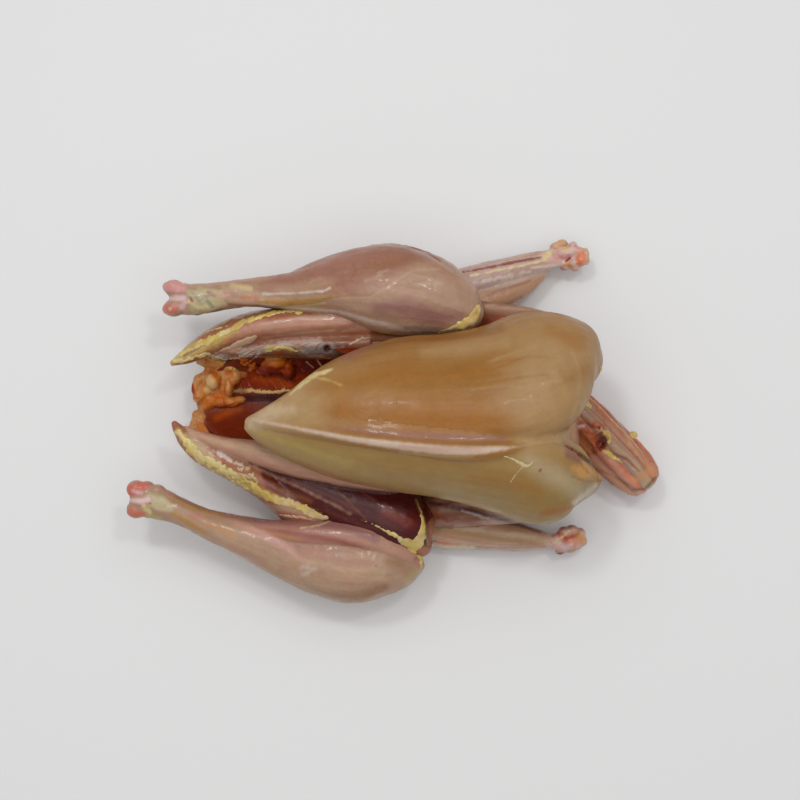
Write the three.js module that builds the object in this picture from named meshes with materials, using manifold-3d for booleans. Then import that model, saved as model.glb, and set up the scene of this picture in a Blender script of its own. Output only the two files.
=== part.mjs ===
// A whole raw chicken, skinned and dressed, lying on its back with the breast up, the legs
// folded and both wings tucked forward. It is one piece of food, so it is one solid: every
// muscle is a lofted body, all of them are joined, and the body cavity is cut out and open
// at the tail. Millimetres: +X runs to the neck, +Y to the bird's right side, +Z is up.
import * as THREE from "three";
import { mergeVertices } from "three/addons/utils/BufferGeometryUtils.js";
import Module from "manifold-3d";

// Driving dimensions of the bird as it lies.
const birdLength = 230; // hock of the left leg to the cut end of the neck
const birdWidth = 160; // left drumstick to the stump of the right wing
const keelHeight = 86; // table to the top of the breastbone
const restPatchDepth = 2; // how far the soft back is pressed flat by its own weight
const sidesOfMuscle = 16; // facets round a muscle
const ribsPerStation = 2; // loft steps between two given sections

const wasm = await Module();
wasm.setup();

// A section of a muscle is [x, y, z, half width, half depth, roll]: its middle, its size
// across and through the muscle, and how far its +Y edge is lifted, in degrees.
const breast = {
  trunk: [
    [-90, 10, 13, 6, 4, 0],
    [-86, 10, 14, 12, 9, 0],
    [-66, 10, 18, 24, 19, 0],
    [-45, 8, 23, 30, 24.5, 0],
    [-15, 5, 28, 33, 30, 0],
    [20, 2, 32, 34, 34, 0],
    [46, -0.5, 34, 34, 35.5, 0],
    [64, -2, 35, 29, 30, 0],
    [74, -4, 36, 19, 19, 0],
    [79, -4, 37, 8, 9, 0],
  ],
  rightFillet: [
    [-60, -3.6, 61, 2, 3, 0],
    [-51, -2, 61.5, 5.2, 5.2, -35],
    [-38, 1.6, 63.5, 10.6, 8.4, -38],
    [-20, 6.8, 65, 19, 12.6, -38],
    [3, 10.1, 64, 26.4, 15.5, -38],
    [25, 10.7, 63, 28.4, 16.5, -38],
    [48, 13.1, 61, 30.6, 18.5, -35],
    [62, 17.6, 57, 29, 20, -28],
    [78, 21.2, 50.5, 18.4, 15.5, -18],
    [84, 22.6, 48, 13, 11.8, -12],
    [87.6, 22.8, 47, 8.4, 8, -6],
    [90.4, 22.8, 46.5, 1.8, 2, 0],
  ],
  leftFillet: [
    [-60, -4, 61, 2, 3, 0],
    [-51, -7, 60.5, 7.2, 5.1, 50],
    [-38, -11, 61.5, 11.6, 7.4, 58],
    [-20, -15.5, 63.5, 16, 9.2, 60],
    [3, -18, 63.5, 20, 10.8, 62],
    [25, -20.5, 63, 21, 11.6, 62],
    [48, -24, 60, 22.4, 13.4, 58],
    [62, -26.3, 56, 21, 16, 46],
    [76.5, -25.2, 47.5, 11.6, 11, 30],
    [82.5, -25.6, 43.5, 6.2, 7.4, 20],
    [87.4, -25, 41.5, 2, 3, 0],
  ],
  breastbone: [
    [-55, -3, 58, 2, 3, 0],
    [-48, -3, 58, 6, 9, 4],
    [-37, -3.5, 59, 9, 16, 6],
    [-16, -5, 60, 12, 21, 8],
    [23, -8, 61, 15, 23, 9],
    [43, -9.5, 59, 15, 22, 9],
    [57, -9, 53, 14, 20, 6],
    [66, -8, 48, 10, 14, 0],
    [70.5, -7, 45, 3, 4, 0],
  ],
  keel: [
    [-57, -3, 62.5, 1.4, 2, 0],
    [-52, -3.8, 65.5, 2.2, 3.4, 0],
    [-37, -7.2, 72.5, 2.6, 4.2, 0],
    [-16, -11.4, 78, 3, 4.6, 0],
    [23, -16.5, 81.2, 3.8, 4.4, 0],
    [36, -17, 80.8, 3.6, 4.2, 0],
    [47, -15.8, 78.4, 3, 4, 0],
    [55, -14.4, 75, 2, 3, 0],
  ],
};

const rightLeg = {
  thigh: [
    [-64, 35, 22, 2, 3, 0],
    [-60, 36, 22, 7, 11, 0],
    [-45, 41, 25, 12, 17, 0],
    [-20, 45, 28, 14.5, 20, 0],
    [5, 47, 32, 16, 19, 0],
    [24, 47, 38, 13.5, 15, 0],
    [35, 47, 43, 7, 8, 0],
    [38, 47, 43, 2, 2.5, 0],
  ],
  hamBlade: [
    [-95.5, 25, 33.5, 1, 1.4, 0],
    [-88, 29, 32.5, 3.6, 4.6, 10],
    [-79, 34.5, 31, 5.6, 9, 12],
    [-68, 39, 30, 7.2, 12, 10],
    [-55, 41.5, 30, 8, 14.5, 5],
    [-38, 42, 31, 8, 15.5, 0],
    [-12, 42, 33, 8, 15, 0],
    [12, 42, 36, 7, 12, 0],
  ],
  drumstick: [
    [-98.8, 52.6, 36.5, 3.4, 3.6, 0],
    [-95.5, 52.6, 36.5, 8, 5.6, 0],
    [-79, 53.6, 36.4, 6.5, 6.4, 0],
    [-64, 55.5, 37.5, 6, 6.4, 0],
    [-35, 55.5, 42, 10.6, 11, 0],
    [-22, 57, 44, 14, 14, 0],
    [-9, 56.5, 45, 18.5, 16.5, 0],
    [3, 55.2, 45.5, 19.4, 17.5, 0],
    [16, 52.4, 46, 17.4, 16.5, 0],
    [26, 48.2, 46, 13.6, 13.5, 0],
    [33.5, 45, 45.5, 9.6, 10, 0],
    [38, 44, 45, 3, 4, 0],
  ],
};

const leftLeg = {
  thigh: [
    [-67, -10, 20, 2.5, 3, 0],
    [-62, -12, 20, 8, 10, 0],
    [-45, -22, 23, 13, 15, 0],
    [-25, -31, 25, 16, 17.5, 0],
    [-5, -39, 26, 17.5, 17.5, 0],
    [7, -46, 26, 14, 15, 0],
    [14, -52, 26, 7, 8, 0],
    [17, -53, 26, 2, 2.5, 0],
  ],
  hamBlade: [
    [-94.4, 0.6, 30.5, 1, 1.4, 0],
    [-91, -4, 30, 3, 4, 0],
    [-80.6, -12.6, 28.5, 5.6, 8, 0],
    [-72.6, -16.8, 27.5, 6, 10, 0],
    [-62, -21.6, 26.5, 6.6, 12, 0],
    [-51, -28, 25.5, 7.8, 13, 0],
    [-39, -36, 25, 9.4, 13, 0],
    [-20, -41, 25, 10, 13, 0],
  ],
  flank: [
    [-89, -2, 30, 1, 2, 0],
    [-84, -5.4, 31, 2.2, 4, 0],
    [-73, -9.6, 31.5, 3.6, 9, 0],
    [-62, -12.6, 32.5, 5, 12, 0],
    [-48, -16, 34.5, 6.4, 14, 0],
    [-30, -19.4, 37, 7.4, 15, 0],
    [-5, -23, 38, 8, 14, 0],
  ],
  drumstick: [
    [-113.4, -33, 30.5, 3, 3.6, 0],
    [-110, -33.2, 30.3, 7.6, 5.8, 0],
    [-101, -34.4, 29.5, 7, 6.8, 0],
    [-89, -38.9, 28.5, 5.8, 6.2, 0],
    [-77, -44.2, 27.5, 6.6, 7, 0],
    [-63, -48.6, 26, 8.8, 9.6, 0],
    [-48, -53.6, 24.5, 12.2, 13, 0],
    [-34, -57, 23.5, 15.8, 16.6, 0],
    [-19, -59, 23, 18.2, 18.6, 0],
    [-6, -60.3, 23.5, 15.4, 17, 0],
    [5, -60.8, 24.2, 9.8, 12, 0],
    [13, -58.4, 25, 3.2, 5, 0],
  ],
};

const rightWing = {
  upperArm: [
    [20, 53, 19, 2, 2.5, 0],
    [25, 51, 20, 6.5, 7.5, 0],
    [34, 46.5, 24, 8.6, 10.5, 0],
    [48, 41.5, 28, 10.8, 13.5, 0],
    [62, 36.5, 32, 12.4, 15, 0],
    [72, 32, 36, 11.5, 13, 0],
    [79, 28, 38.5, 8, 9, 0],
    [83, 26, 39.5, 3, 3.5, 0],
  ],
  forearm: [
    [17, 54.3, 17, 2, 2.5, 0],
    [20, 55, 17, 5.5, 7, 0],
    [28, 57.5, 16, 9.5, 10, 0],
    [40, 61.5, 14.5, 11, 11, 0],
    [54, 67, 12.5, 9.2, 10, 0],
    [66, 72, 11.5, 6.8, 7.6, 0],
    [72, 75.2, 12, 6, 6.4, 0],
    [77, 76.8, 12, 6.4, 5.6, 0],
    [85.5, 76, 12, 2, 2.4, 0],
  ],
};

const leftWing = {
  upperArm: [
    [3, -39, 15, 2, 2.5, 0],
    [7, -38.6, 16, 6, 7.5, 0],
    [18, -36.6, 19, 8.4, 10.5, 0],
    [38, -33.4, 24, 10.8, 13, 0],
    [56, -30.6, 30, 12.4, 15, 0],
    [66, -28, 34, 11.6, 13.4, 0],
    [73, -25.4, 36.5, 8, 9, 0],
    [77, -24.4, 37.5, 3, 3.5, 0],
  ],
  forearm: [
    [-1, -39.6, 13, 2, 2.5, 0],
    [2, -40, 13, 5, 6, 0],
    [12, -41.5, 12.4, 8, 9, 0],
    [25, -44, 11.4, 8.8, 10, 0],
    [40, -46, 10.4, 8, 9.4, 0],
    [54, -48, 9.4, 6.4, 8, 0],
    [66, -49.4, 8.8, 4.4, 6.2, 0],
    [73, -49.4, 9.4, 5.4, 6, 0],
    [80, -48.8, 9.6, 5.6, 5.6, 0],
    [86, -48.6, 9.6, 2.2, 2.6, 0],
  ],
};

const neck = {
  stump: [
    [58, 18, 20, 10, 11, 0],
    [73, 11.5, 22, 12.4, 12.9, 0],
    [84.7, 2.2, 21.5, 13, 12.9, 0],
    [91.6, -5, 20, 12.4, 12.6, 0],
    [98.6, -12.4, 17.4, 11.6, 12.2, 0],
    [105.6, -19.4, 15, 10.2, 11.4, 0],
    [110.5, -24.4, 13.4, 7.8, 9.4, 0],
    [113.6, -27.4, 13, 3.4, 4.5, 0],
  ],
};

// The emptied body cavity. It runs in from the tail, is open upwards as far as the tip of
// the breast, and ends under the shoulders.
const cavity = [
  [-112, 10, 40, 16, 25, 0],
  [-86, 10, 38, 16.5, 24, 0],
  [-66, 11.5, 37, 19, 24, 0],
  [-45, 12, 37, 20, 23.5, 0],
  [-20, 10, 36, 19.5, 21.5, 0],
  [5, 6, 32, 18, 16, 0],
  [30, 1, 30, 14, 12.5, 0],
  [46, -1, 29, 7, 7, 0],
];

// Smooth values between the given sections: a curve for the middles, one for the sizes.
function sectionCurves(sections) {
  const middles = sections.map(([x, y, z]) => new THREE.Vector3(x, y, z));
  const sizes = sections.map((s) => new THREE.Vector3(s[3], s[4], s[5]));
  return {
    path: new THREE.CatmullRomCurve3(middles, false, "catmullrom", 0.5),
    size: new THREE.CatmullRomCurve3(sizes, false, "catmullrom", 0.5),
  };
}

// The ring of points of one section, square to the muscle's own line.
function sectionRing({ path, size }, t) {
  const middle = path.getPoint(t);
  const along = path.getTangent(t);
  const across = new THREE.Vector3(0, 0, 1).cross(along).normalize();
  const through = new THREE.Vector3().crossVectors(along, across);
  const { x: halfWidth, y: halfDepth, z: roll } = size.getPoint(t);
  const tilt = THREE.MathUtils.degToRad(roll);
  const ring = [];
  for (let i = 0; i < sidesOfMuscle; i++) {
    const angle = (2 * Math.PI * i) / sidesOfMuscle;
    const u = halfWidth * Math.cos(angle);
    const v = halfDepth * Math.sin(angle);
    const sideways = u * Math.cos(tilt) - v * Math.sin(tilt);
    const upwards = u * Math.sin(tilt) + v * Math.cos(tilt);
    ring.push(
      middle
        .clone()
        .addScaledVector(across, sideways)
        .addScaledVector(through, upwards),
    );
  }
  return { middle, ring };
}

// A closed muscle through its sections, as a three.js geometry facing out.
function muscleGeometry(sections) {
  const curves = sectionCurves(sections);
  const steps = (sections.length - 1) * ribsPerStation;
  const rings = [];
  for (let i = 0; i <= steps; i++) rings.push(sectionRing(curves, i / steps));
  const points = rings.flatMap(({ ring }) => ring);
  const firstMiddle = points.push(rings[0].middle) - 1;
  const lastMiddle = points.push(rings[steps].middle) - 1;
  const faces = [];
  for (let k = 0; k < sidesOfMuscle; k++) {
    const next = (k + 1) % sidesOfMuscle;
    faces.push([firstMiddle, next, k]);
    const end = steps * sidesOfMuscle;
    faces.push([lastMiddle, end + k, end + next]);
    for (let i = 0; i < steps; i++) {
      const here = i * sidesOfMuscle;
      const there = here + sidesOfMuscle;
      faces.push([here + k, here + next, there + next]);
      faces.push([here + k, there + next, there + k]);
    }
  }
  const geometry = new THREE.BufferGeometry().setFromPoints(points);
  geometry.setIndex(faces.flat());
  return geometry;
}

function solidFrom(geometry) {
  const bare = geometry.clone();
  bare.deleteAttribute("normal");
  bare.deleteAttribute("uv");
  const merged = mergeVertices(bare, 1e-3);
  return new wasm.Manifold(
    new wasm.Mesh({
      numProp: 3,
      vertProperties: merged.attributes.position.array,
      triVerts: new Uint32Array(merged.index.array),
    }),
  );
}

function joinedMuscles(...groups) {
  return groups
    .flatMap((group) => Object.values(group))
    .map((sections) => solidFrom(muscleGeometry(sections)))
    .reduce((whole, muscle) => whole.add(muscle));
}

// What is cut away under the bird: everything below the table it lies on.
function tableBlock() {
  const block = new THREE.BoxGeometry(2 * birdLength, 2 * birdWidth, keelHeight);
  block.translate(0, 0, -keelHeight / 2);
  return solidFrom(block);
}

function lowered(sections) {
  return sections.map(([x, y, z, ...rest]) => [x, y, z - restPatchDepth, ...rest]);
}

// The solid brought to its driving sizes, with the origin on the table under its middle.
function sizedAndCentred(solid) {
  const { min, max } = solid.boundingBox();
  const wanted = [birdLength, birdWidth, keelHeight];
  return solid
    .translate([-(min[0] + max[0]) / 2, -(min[1] + max[1]) / 2, -min[2]])
    .scale(wanted.map((size, axis) => size / (max[axis] - min[axis])));
}

function geometryFrom(solid) {
  const { vertProperties, triVerts } = solid.getMesh();
  const geometry = new THREE.BufferGeometry();
  geometry.setAttribute("position", new THREE.BufferAttribute(vertProperties, 3));
  geometry.setIndex(new THREE.BufferAttribute(triVerts, 1));
  geometry.computeVertexNormals();
  return geometry;
}

const { trunk, ...breastMeat } = breast;
const hollowTrunk = solidFrom(muscleGeometry(lowered(trunk))).subtract(
  solidFrom(muscleGeometry(cavity)),
);
const wholeBird = hollowTrunk
  .add(joinedMuscles(breastMeat, rightLeg, leftLeg, rightWing, leftWing, neck))
  .subtract(tableBlock());

const flesh = new THREE.MeshStandardMaterial({
  color: new THREE.Color(0.66, 0.47, 0.31),
  roughness: 0.38,
  metalness: 0,
});
const chicken = new THREE.Mesh(geometryFrom(sizedAndCentred(wholeBird)), flesh);
chicken.name = "chicken";

const model = new THREE.Group();
model.add(chicken);
export default model;
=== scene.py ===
import math

import bpy
import numpy as np
from mathutils import Matrix, Quaternion, Vector, noise
from mathutils.bvhtree import BVHTree


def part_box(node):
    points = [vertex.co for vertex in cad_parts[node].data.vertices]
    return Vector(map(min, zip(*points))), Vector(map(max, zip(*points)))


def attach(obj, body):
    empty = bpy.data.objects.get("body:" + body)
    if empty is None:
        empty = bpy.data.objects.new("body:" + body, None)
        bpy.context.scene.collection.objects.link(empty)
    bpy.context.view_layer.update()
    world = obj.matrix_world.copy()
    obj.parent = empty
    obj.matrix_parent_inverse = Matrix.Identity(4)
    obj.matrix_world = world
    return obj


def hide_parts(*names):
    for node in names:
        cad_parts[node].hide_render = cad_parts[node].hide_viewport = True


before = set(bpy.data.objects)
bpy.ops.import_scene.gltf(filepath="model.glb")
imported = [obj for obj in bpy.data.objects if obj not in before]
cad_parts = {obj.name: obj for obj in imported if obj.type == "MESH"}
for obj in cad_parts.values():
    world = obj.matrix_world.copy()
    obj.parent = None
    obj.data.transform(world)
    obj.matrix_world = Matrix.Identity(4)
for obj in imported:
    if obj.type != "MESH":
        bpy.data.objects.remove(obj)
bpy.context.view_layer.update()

mm = 0.001
coarser = 1.0  # bigger voxels while trying things

# Every place below is drawn in millimetres: +X to the neck, +Y to the bird's right side, +Z up from
# the table. The drawing is brought to the frame's box.
birdLow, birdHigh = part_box("chicken")
drawnLow = (-113.67, -77.07, 0.0)
drawnHigh = (116.12, 83.19, 85.64)


def spot(x, y, z):
    placed = []
    for value, low, high, boxLow, boxHigh in zip((x, y, z), drawnLow, drawnHigh, birdLow, birdHigh):
        placed.append(boxLow + (value - low) / (high - low) * (boxHigh - boxLow))
    return Vector(placed)


# The camera looks almost straight down on the bird, as the photo does.
view = {
    "place": (3.4, -68.5, 665.2),
    "leanBack": 7.0,  # degrees off straight down
    "lens": 66.98,
    "sensor": 36.0,
    "frameWidth": 800,  # pixels of the photo
}
bpy.ops.object.select_all(action="DESELECT")
bpy.ops.object.camera_add(location=spot(*view["place"]), rotation=(math.radians(view["leanBack"]), 0, 0))
camera = bpy.context.object
camera.data.lens = view["lens"]
camera.data.sensor_width = view["sensor"]
camera.data.clip_start = 0.01
bpy.context.scene.camera = camera
pixelsPerSlope = view["lens"] / view["sensor"] * view["frameWidth"]
photoMiddle = view["frameWidth"] / 2
bpy.context.view_layer.update()
toCamera = camera.matrix_world.inverted()


def photoPixels(points):
    # where points of the bird show in the photo
    turned = points @ np.array(toCamera.to_3x3()).T + np.array(toCamera.translation)
    across = photoMiddle + pixelsPerSlope * turned[:, 0] / -turned[:, 2]
    down = photoMiddle - pixelsPerSlope * turned[:, 1] / -turned[:, 2]
    return np.column_stack([across, down])


def photoRay(across, down):
    # from the camera through a pixel of the photo
    slope = Vector(((across - photoMiddle) / pixelsPerSlope, (photoMiddle - down) / pixelsPerSlope, -1))
    return camera.matrix_world.translation, (camera.matrix_world.to_3x3() @ slope).normalized()


def atPixel(across, down, height):
    # the place at a height in millimetres that shows at a pixel of the photo
    start, way = photoRay(across, down)
    return start + way * ((height * mm - start.z) / way.z)


# Shaping
def stationRows(stations, steps):
    # smooth rows between the given stations of a muscle; a station without a roll has none
    given = np.array([[*station, 0][:6] for station in stations], float)
    run = np.vstack([2 * given[0] - given[1], given, 2 * given[-1] - given[-2]])
    rows = []
    for i in range(len(given) - 1):
        before, here, there, after = run[i:i + 4]
        for k in range(steps):
            t = k / steps
            bend = 2 * before - 5 * here + 4 * there - after
            curl = 3 * here - before - 3 * there + after
            rows.append(0.5 * (2 * here + (there - before) * t + bend * t ** 2 + curl * t ** 3))
    rows.append(given[-1])
    return np.array(rows)


def ringTurn(rows, i):
    # the turn of a ring square to the muscle's own line, with its roll
    ahead = rows[min(i + 1, len(rows) - 1)]
    behind = rows[max(i - 1, 0)]
    along = Vector(ahead[:3] - behind[:3]).normalized()
    across = Vector((0, 0, 1)).cross(along).normalized()
    through = along.cross(across)
    return Matrix((across, through, along)).transposed() @ Matrix.Rotation(math.radians(rows[i][5]), 3, "Z")


def addMuscle(name, stations, sides=24, steps=3):
    # rings bridged into a closed muscle; a station is x, y, z, half width, half depth, roll
    rows = stationRows(stations, steps)
    rings = []
    for i, row in enumerate(rows):
        bpy.ops.mesh.primitive_circle_add(
            vertices=sides, radius=mm, location=spot(*row[:3]), rotation=ringTurn(rows, i).to_euler())
        bpy.context.object.scale = (max(row[3], 0.2), max(row[4], 0.2), 1)
        rings.append(bpy.context.object)
    joined(name, rings)
    bpy.ops.object.mode_set(mode="EDIT")
    bpy.ops.mesh.select_all(action="SELECT")
    bpy.ops.mesh.bridge_edge_loops()
    bpy.ops.mesh.select_all(action="SELECT")
    bpy.ops.mesh.fill_holes(sides=0)
    bpy.ops.mesh.normals_make_consistent(inside=False)
    bpy.ops.object.mode_set(mode="OBJECT")
    return bpy.context.object


def addLumps(places):
    # copies of one rounded lump; a place is its middle, turn and half sizes in metres
    bpy.ops.object.select_all(action="DESELECT")
    bpy.ops.mesh.primitive_ico_sphere_add(subdivisions=2, radius=1)
    model = bpy.context.object
    lumps = []
    for middle, turn, size in places:
        lump = model.copy()
        lump.data = model.data.copy()
        lump.matrix_world = Matrix.LocRotScale(middle, turn, size)
        bpy.context.collection.objects.link(lump)
        lumps.append(lump)
    bpy.data.objects.remove(model)
    return lumps


def lumpsAtPixels(lumps):
    # a lump is a pixel's place across and down, a height and the half sizes in millimetres
    return addLumps([
        (atPixel(across, down, height), Quaternion(), Vector(size) * mm)
        for across, down, height, size in lumps])


def pickOut(pieces):
    # selects only these pieces, the first one active
    bpy.ops.object.select_all(action="DESELECT")
    for piece in pieces:
        piece.select_set(True)
    bpy.context.view_layer.objects.active = pieces[0]


def useModifier(piece, kind, **settings):
    # adds a modifier, sets it and applies it
    pickOut([piece])
    modifier = piece.modifiers.new(kind.lower(), kind)
    for key, value in settings.items():
        setattr(modifier, key, value)
    bpy.ops.object.modifier_apply(modifier=modifier.name)


def joined(name, parts):
    pickOut(parts)
    bpy.ops.object.join()
    bpy.ops.object.transform_apply(location=True, rotation=True, scale=True)
    piece = bpy.context.object
    piece.name = name
    piece.data.name = name
    return piece


def smoothed(piece, times):
    useModifier(piece, "SMOOTH", factor=0.5, iterations=times)


def grownTogether(name, parts, voxel, smooths):
    # overlapping shapes become one skin
    piece = joined(name, parts)
    useModifier(piece, "REMESH", mode="VOXEL", voxel_size=voxel * coarser * mm)
    smoothed(piece, max(1, int(smooths / coarser)))
    return piece


def meshVectors(piece, kind):
    vectors = np.empty(len(piece.data.vertices) * 3)
    piece.data.vertices.foreach_get(kind, vectors)
    return vectors.reshape(-1, 3)


def wobble(points, size, shift=0.0):
    # smooth noise from -1 to 1 with lumps of the given size in millimetres
    scaled = points / (size * mm) + shift
    return np.array([noise.noise(p) for p in scaled])


def lumpy(piece, size, height):
    # gentle unevenness by a cloud pattern, sizes in millimetres
    clouds = bpy.data.textures.new(piece.name + "Lumps", "CLOUDS")
    clouds.noise_scale = size * mm
    clouds.noise_depth = 2
    useModifier(
        piece, "DISPLACE", texture=clouds, texture_coords="LOCAL", mid_level=0.5,
        strength=height * mm * 2)


def searchTrees(pieces):
    seen = bpy.context.evaluated_depsgraph_get()
    return [BVHTree.FromObject(piece, seen) for piece in pieces]


def meet(trees, across, down):
    # where the ray through a pixel first meets the pieces, and the way their surface faces
    start, way = photoRay(across, down)
    hits = [tree.ray_cast(start, way) for tree in trees]
    hits = [hit for hit in hits if hit[0] is not None]
    if not hits:
        return None, None
    place, facing = min(hits, key=lambda hit: hit[3])[:2]
    return place, facing


# Lumps of a trail: their flatness, pixels apart, stray and least size as shares, tilt and sinking in
usualTrail = dict(flat=0.5, gap=1.5, stray=0.45, least=0.55, tilt=0, sink=0.2)
mostLump = 1.1


def trailLumps(trees, trail, seed):
    # lumps laid along a path of pixels on the pieces below; a path point has its half width in pixels
    draw = np.random.default_rng(seed)
    trail = {**usualTrail, **trail}
    places = []
    for (ax, ay, aw), (bx, by, bw) in zip(trail["path"], trail["path"][1:]):
        count = max(1, round(math.dist((ax, ay), (bx, by)) / trail["gap"]))
        for k in range(count):
            t = k / count
            wide = aw + (bw - aw) * t
            stray = draw.uniform(-1, 1, 2) * wide * trail["stray"]
            wide = trail.get("size", wide)
            place, facing = meet(trees, ax + (bx - ax) * t + stray[0], ay + (by - ay) * t + stray[1])
            share = draw.uniform(trail["least"], mostLump, 3)
            if place is None:
                continue
            size = wide * (camera.location - place).length / pixelsPerSlope
            turn = facing.to_track_quat("Z", "X") @ Quaternion((0, 0, 1), draw.uniform(0, math.pi))
            turn = turn @ Quaternion((1, 0, 0), draw.uniform(-1, 1) * trail["tilt"])
            halves = Vector((size * share[0], size * share[1], size * share[2] * trail["flat"]))
            places.append((place - facing * halves.z * trail["sink"], turn, halves))
    return addLumps(places)


def roughened(piece, trails, voxel, smooths):
    # grows lumps laid on the piece's own skin into it, as torn bits
    trees = searchTrees([piece])
    lumps = []
    for seed, trail in enumerate(trails):
        lumps += trailLumps(trees, trail, seed)
    return grownTogether(piece.name, [piece] + lumps, voxel, smooths)


def step(low, high, value):
    # 0 below low, 1 above high, smooth between
    t = np.clip((value - low) / (high - low), 0, 1)
    return t * t * (3 - 2 * t)


def lineDistance(pixels, stroke):
    # distance in photo pixels from the edge of a painted stroke, negative inside it
    closed = stroke["closed"]
    corners = np.array([point[:2] for point in stroke["path"]], float)
    wides = np.array([point[2] if len(point) > 2 else stroke["wide"] for point in stroke["path"]], float)
    if len(corners) == 1:
        return np.linalg.norm(pixels - corners[0], axis=1) - wides[0]
    first = 0 if closed else 1
    runs = [(corners[i - 1], corners[i], wides[i - 1], wides[i]) for i in range(first, len(corners))]
    nearest = np.full(len(pixels), 1e9)
    inside = np.zeros(len(pixels), bool)
    for a, b, wideA, wideB in runs:
        side = b - a
        t = np.clip(((pixels - a) @ side) / max(side @ side, 1e-9), 0, 1)
        away = np.linalg.norm(pixels - a - t[:, None] * side, axis=1)
        nearest = np.minimum(nearest, away if closed else away - wideA - (wideB - wideA) * t)
        if closed and a[1] != b[1]:
            crosses = (pixels[:, 1] < a[1]) != (pixels[:, 1] < b[1])
            level = a[0] + (pixels[:, 1] - a[1]) / (b[1] - a[1]) * side[0]
            inside ^= crosses & (pixels[:, 0] < level)
    return np.where(inside, -nearest, nearest) if closed else nearest


# Tones of the raw bird, as eight-bit values
tones = {
    "breastTan": (160, 114, 62),
    "breastPale": (184, 152, 108),
    "breastFront": (176, 142, 100),
    "breastOrange": (162, 104, 44),
    "breastOlive": (156, 127, 78),
    "breastGrey": (178, 160, 128),
    "breastBrown": (136, 88, 50),
    "breastRosy": (162, 108, 84),
    "breastCream": (204, 182, 152),
    "flapMustard": (204, 148, 76),
    "keelWhite": (206, 184, 166),
    "keelPink": (190, 152, 134),
    "keelMauve": (152, 106, 90),
    "legTan": (178, 144, 121),
    "legPink": (178, 130, 116),
    "legRose": (158, 108, 92),
    "legMauve": (142, 98, 98),
    "legRed": (136, 64, 50),
    "legPale": (194, 164, 134),
    "legBrown": (148, 106, 72),
    "sheath": (190, 172, 160),
    # white of sheaths and tendons, also used for painted highlights
    "sheathWhiteAndHighlight": (222, 208, 196),
    "sheathGrey": (158, 150, 146),
    "tendonYellow": (176, 134, 72),
    "thighRed": (166, 106, 82),
    "thighPink": (198, 152, 130),
    "thighMaroon": (84, 34, 26),
    "thighLine": (140, 92, 74),
    "fatYellow": (212, 186, 104),
    "fatPale": (226, 208, 152),
    "fatOlive": (182, 166, 102),
    "fatOrange": (200, 140, 72),
    "cartilagePink": (212, 154, 148),
    "cartilageRed": (204, 112, 96),
    "cartilagePale": (224, 190, 190),
    "skinOlive": (190, 178, 140),
    "skinGrey": (110, 114, 108),
    "tailOrange": (196, 116, 56),
    "tailTan": (196, 144, 92),
    "tailPale": (206, 168, 118),
    "cavityRed": (144, 60, 38),
    "cavityMaroon": (120, 56, 44),
    # painted shade: a near-black red laid in gaps, holes and under parts
    "paintedShadeRed": (62, 26, 24),
    "cavityOrange": (190, 92, 36),
    "cavityPurple": (132, 62, 62),
    "boneCream": (214, 182, 122),
    "ribPink": (196, 124, 104),
    "wingPink": (202, 172, 164),
    "wingTan": (192, 150, 120),
    "wingBrown": (136, 88, 66),
    "wristOrange": (224, 138, 98),
    "wristTan": (210, 166, 124),
    "wristPink": (216, 176, 164),
    "neckPink": (216, 139, 111),
    "neckRed": (136, 58, 40),
    "neckTan": (211, 149, 108),
    "throatBrown": (170, 104, 66),
    "bloodRed": (140, 30, 20),
}


def linear(tone):
    # light values of a named tone
    shares = np.array(tones[tone]) / 255
    return np.where(shares <= 0.04045, shares / 12.92, ((shares + 0.055) / 1.055) ** 2.4)


def mark(tone, path, soft, strength=1.0, wide=3.0, rise=0.0, ragged=0.0, wet=0.0, closed=False,
         under=0.0):
    # one painted or carved stroke: its path, soft edge and half width in photo pixels, its share of
    # the tone, its rise in millimetres, and how far it reaches onto walls that lean away
    return dict(tone=tone, path=path, wide=wide, soft=soft, strength=strength, rise=rise,
                ragged=ragged, wet=wet, closed=closed, under=under)


def strokeWeights(piece, strokes):
    # how much of each stroke lies on each point of the piece, on the side that the photo shows
    points = meshVectors(piece, "co")
    pixels = photoPixels(points)
    towards = np.array(camera.matrix_world.translation) - points
    towards /= np.linalg.norm(towards, axis=1)[:, None]
    facing = (meshVectors(piece, "normal") * towards).sum(axis=1)
    unevenness = wobble(points, 2.4, 3.1) + 0.6 * wobble(points, 1.1, 8.3)  # big tatters and small ones
    edgeFade = 0.3  # paint fades where the surface turns this far edge-on
    weights = {}
    for name, stroke in strokes.items():
        distance = lineDistance(pixels, stroke) + stroke["ragged"] * unevenness
        seen = step(-stroke["under"], edgeFade - stroke["under"], facing)
        weights[name] = seen * (1 - step(-stroke["soft"] / 2, stroke["soft"] / 2, distance))
    return weights


def carve(piece, strokes):
    # raises and sinks the piece under its strokes with two weighted groups
    heights = np.zeros(len(piece.data.vertices))
    weights = strokeWeights(piece, {name: s for name, s in strokes.items() if s["rise"]})
    for name, weight in weights.items():
        heights += weight * strokes[name]["rise"]
    levels = 96
    for groupName, part in (("raised", np.clip(heights, 0, None)), ("sunken", np.clip(-heights, 0, None))):
        most = part.max()
        if most <= 0:
            continue
        group = piece.vertex_groups.new(name=groupName)
        shares = np.round(part / most * levels).astype(int)
        for level in range(1, levels + 1):
            chosen = np.flatnonzero(shares == level).tolist()
            if chosen:
                group.add(chosen, level / levels, "REPLACE")
        way = 1 if groupName == "raised" else -1
        useModifier(piece, "DISPLACE", vertex_group=groupName, mid_level=0, strength=way * most * mm)
        piece.vertex_groups.remove(piece.vertex_groups[groupName])


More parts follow.
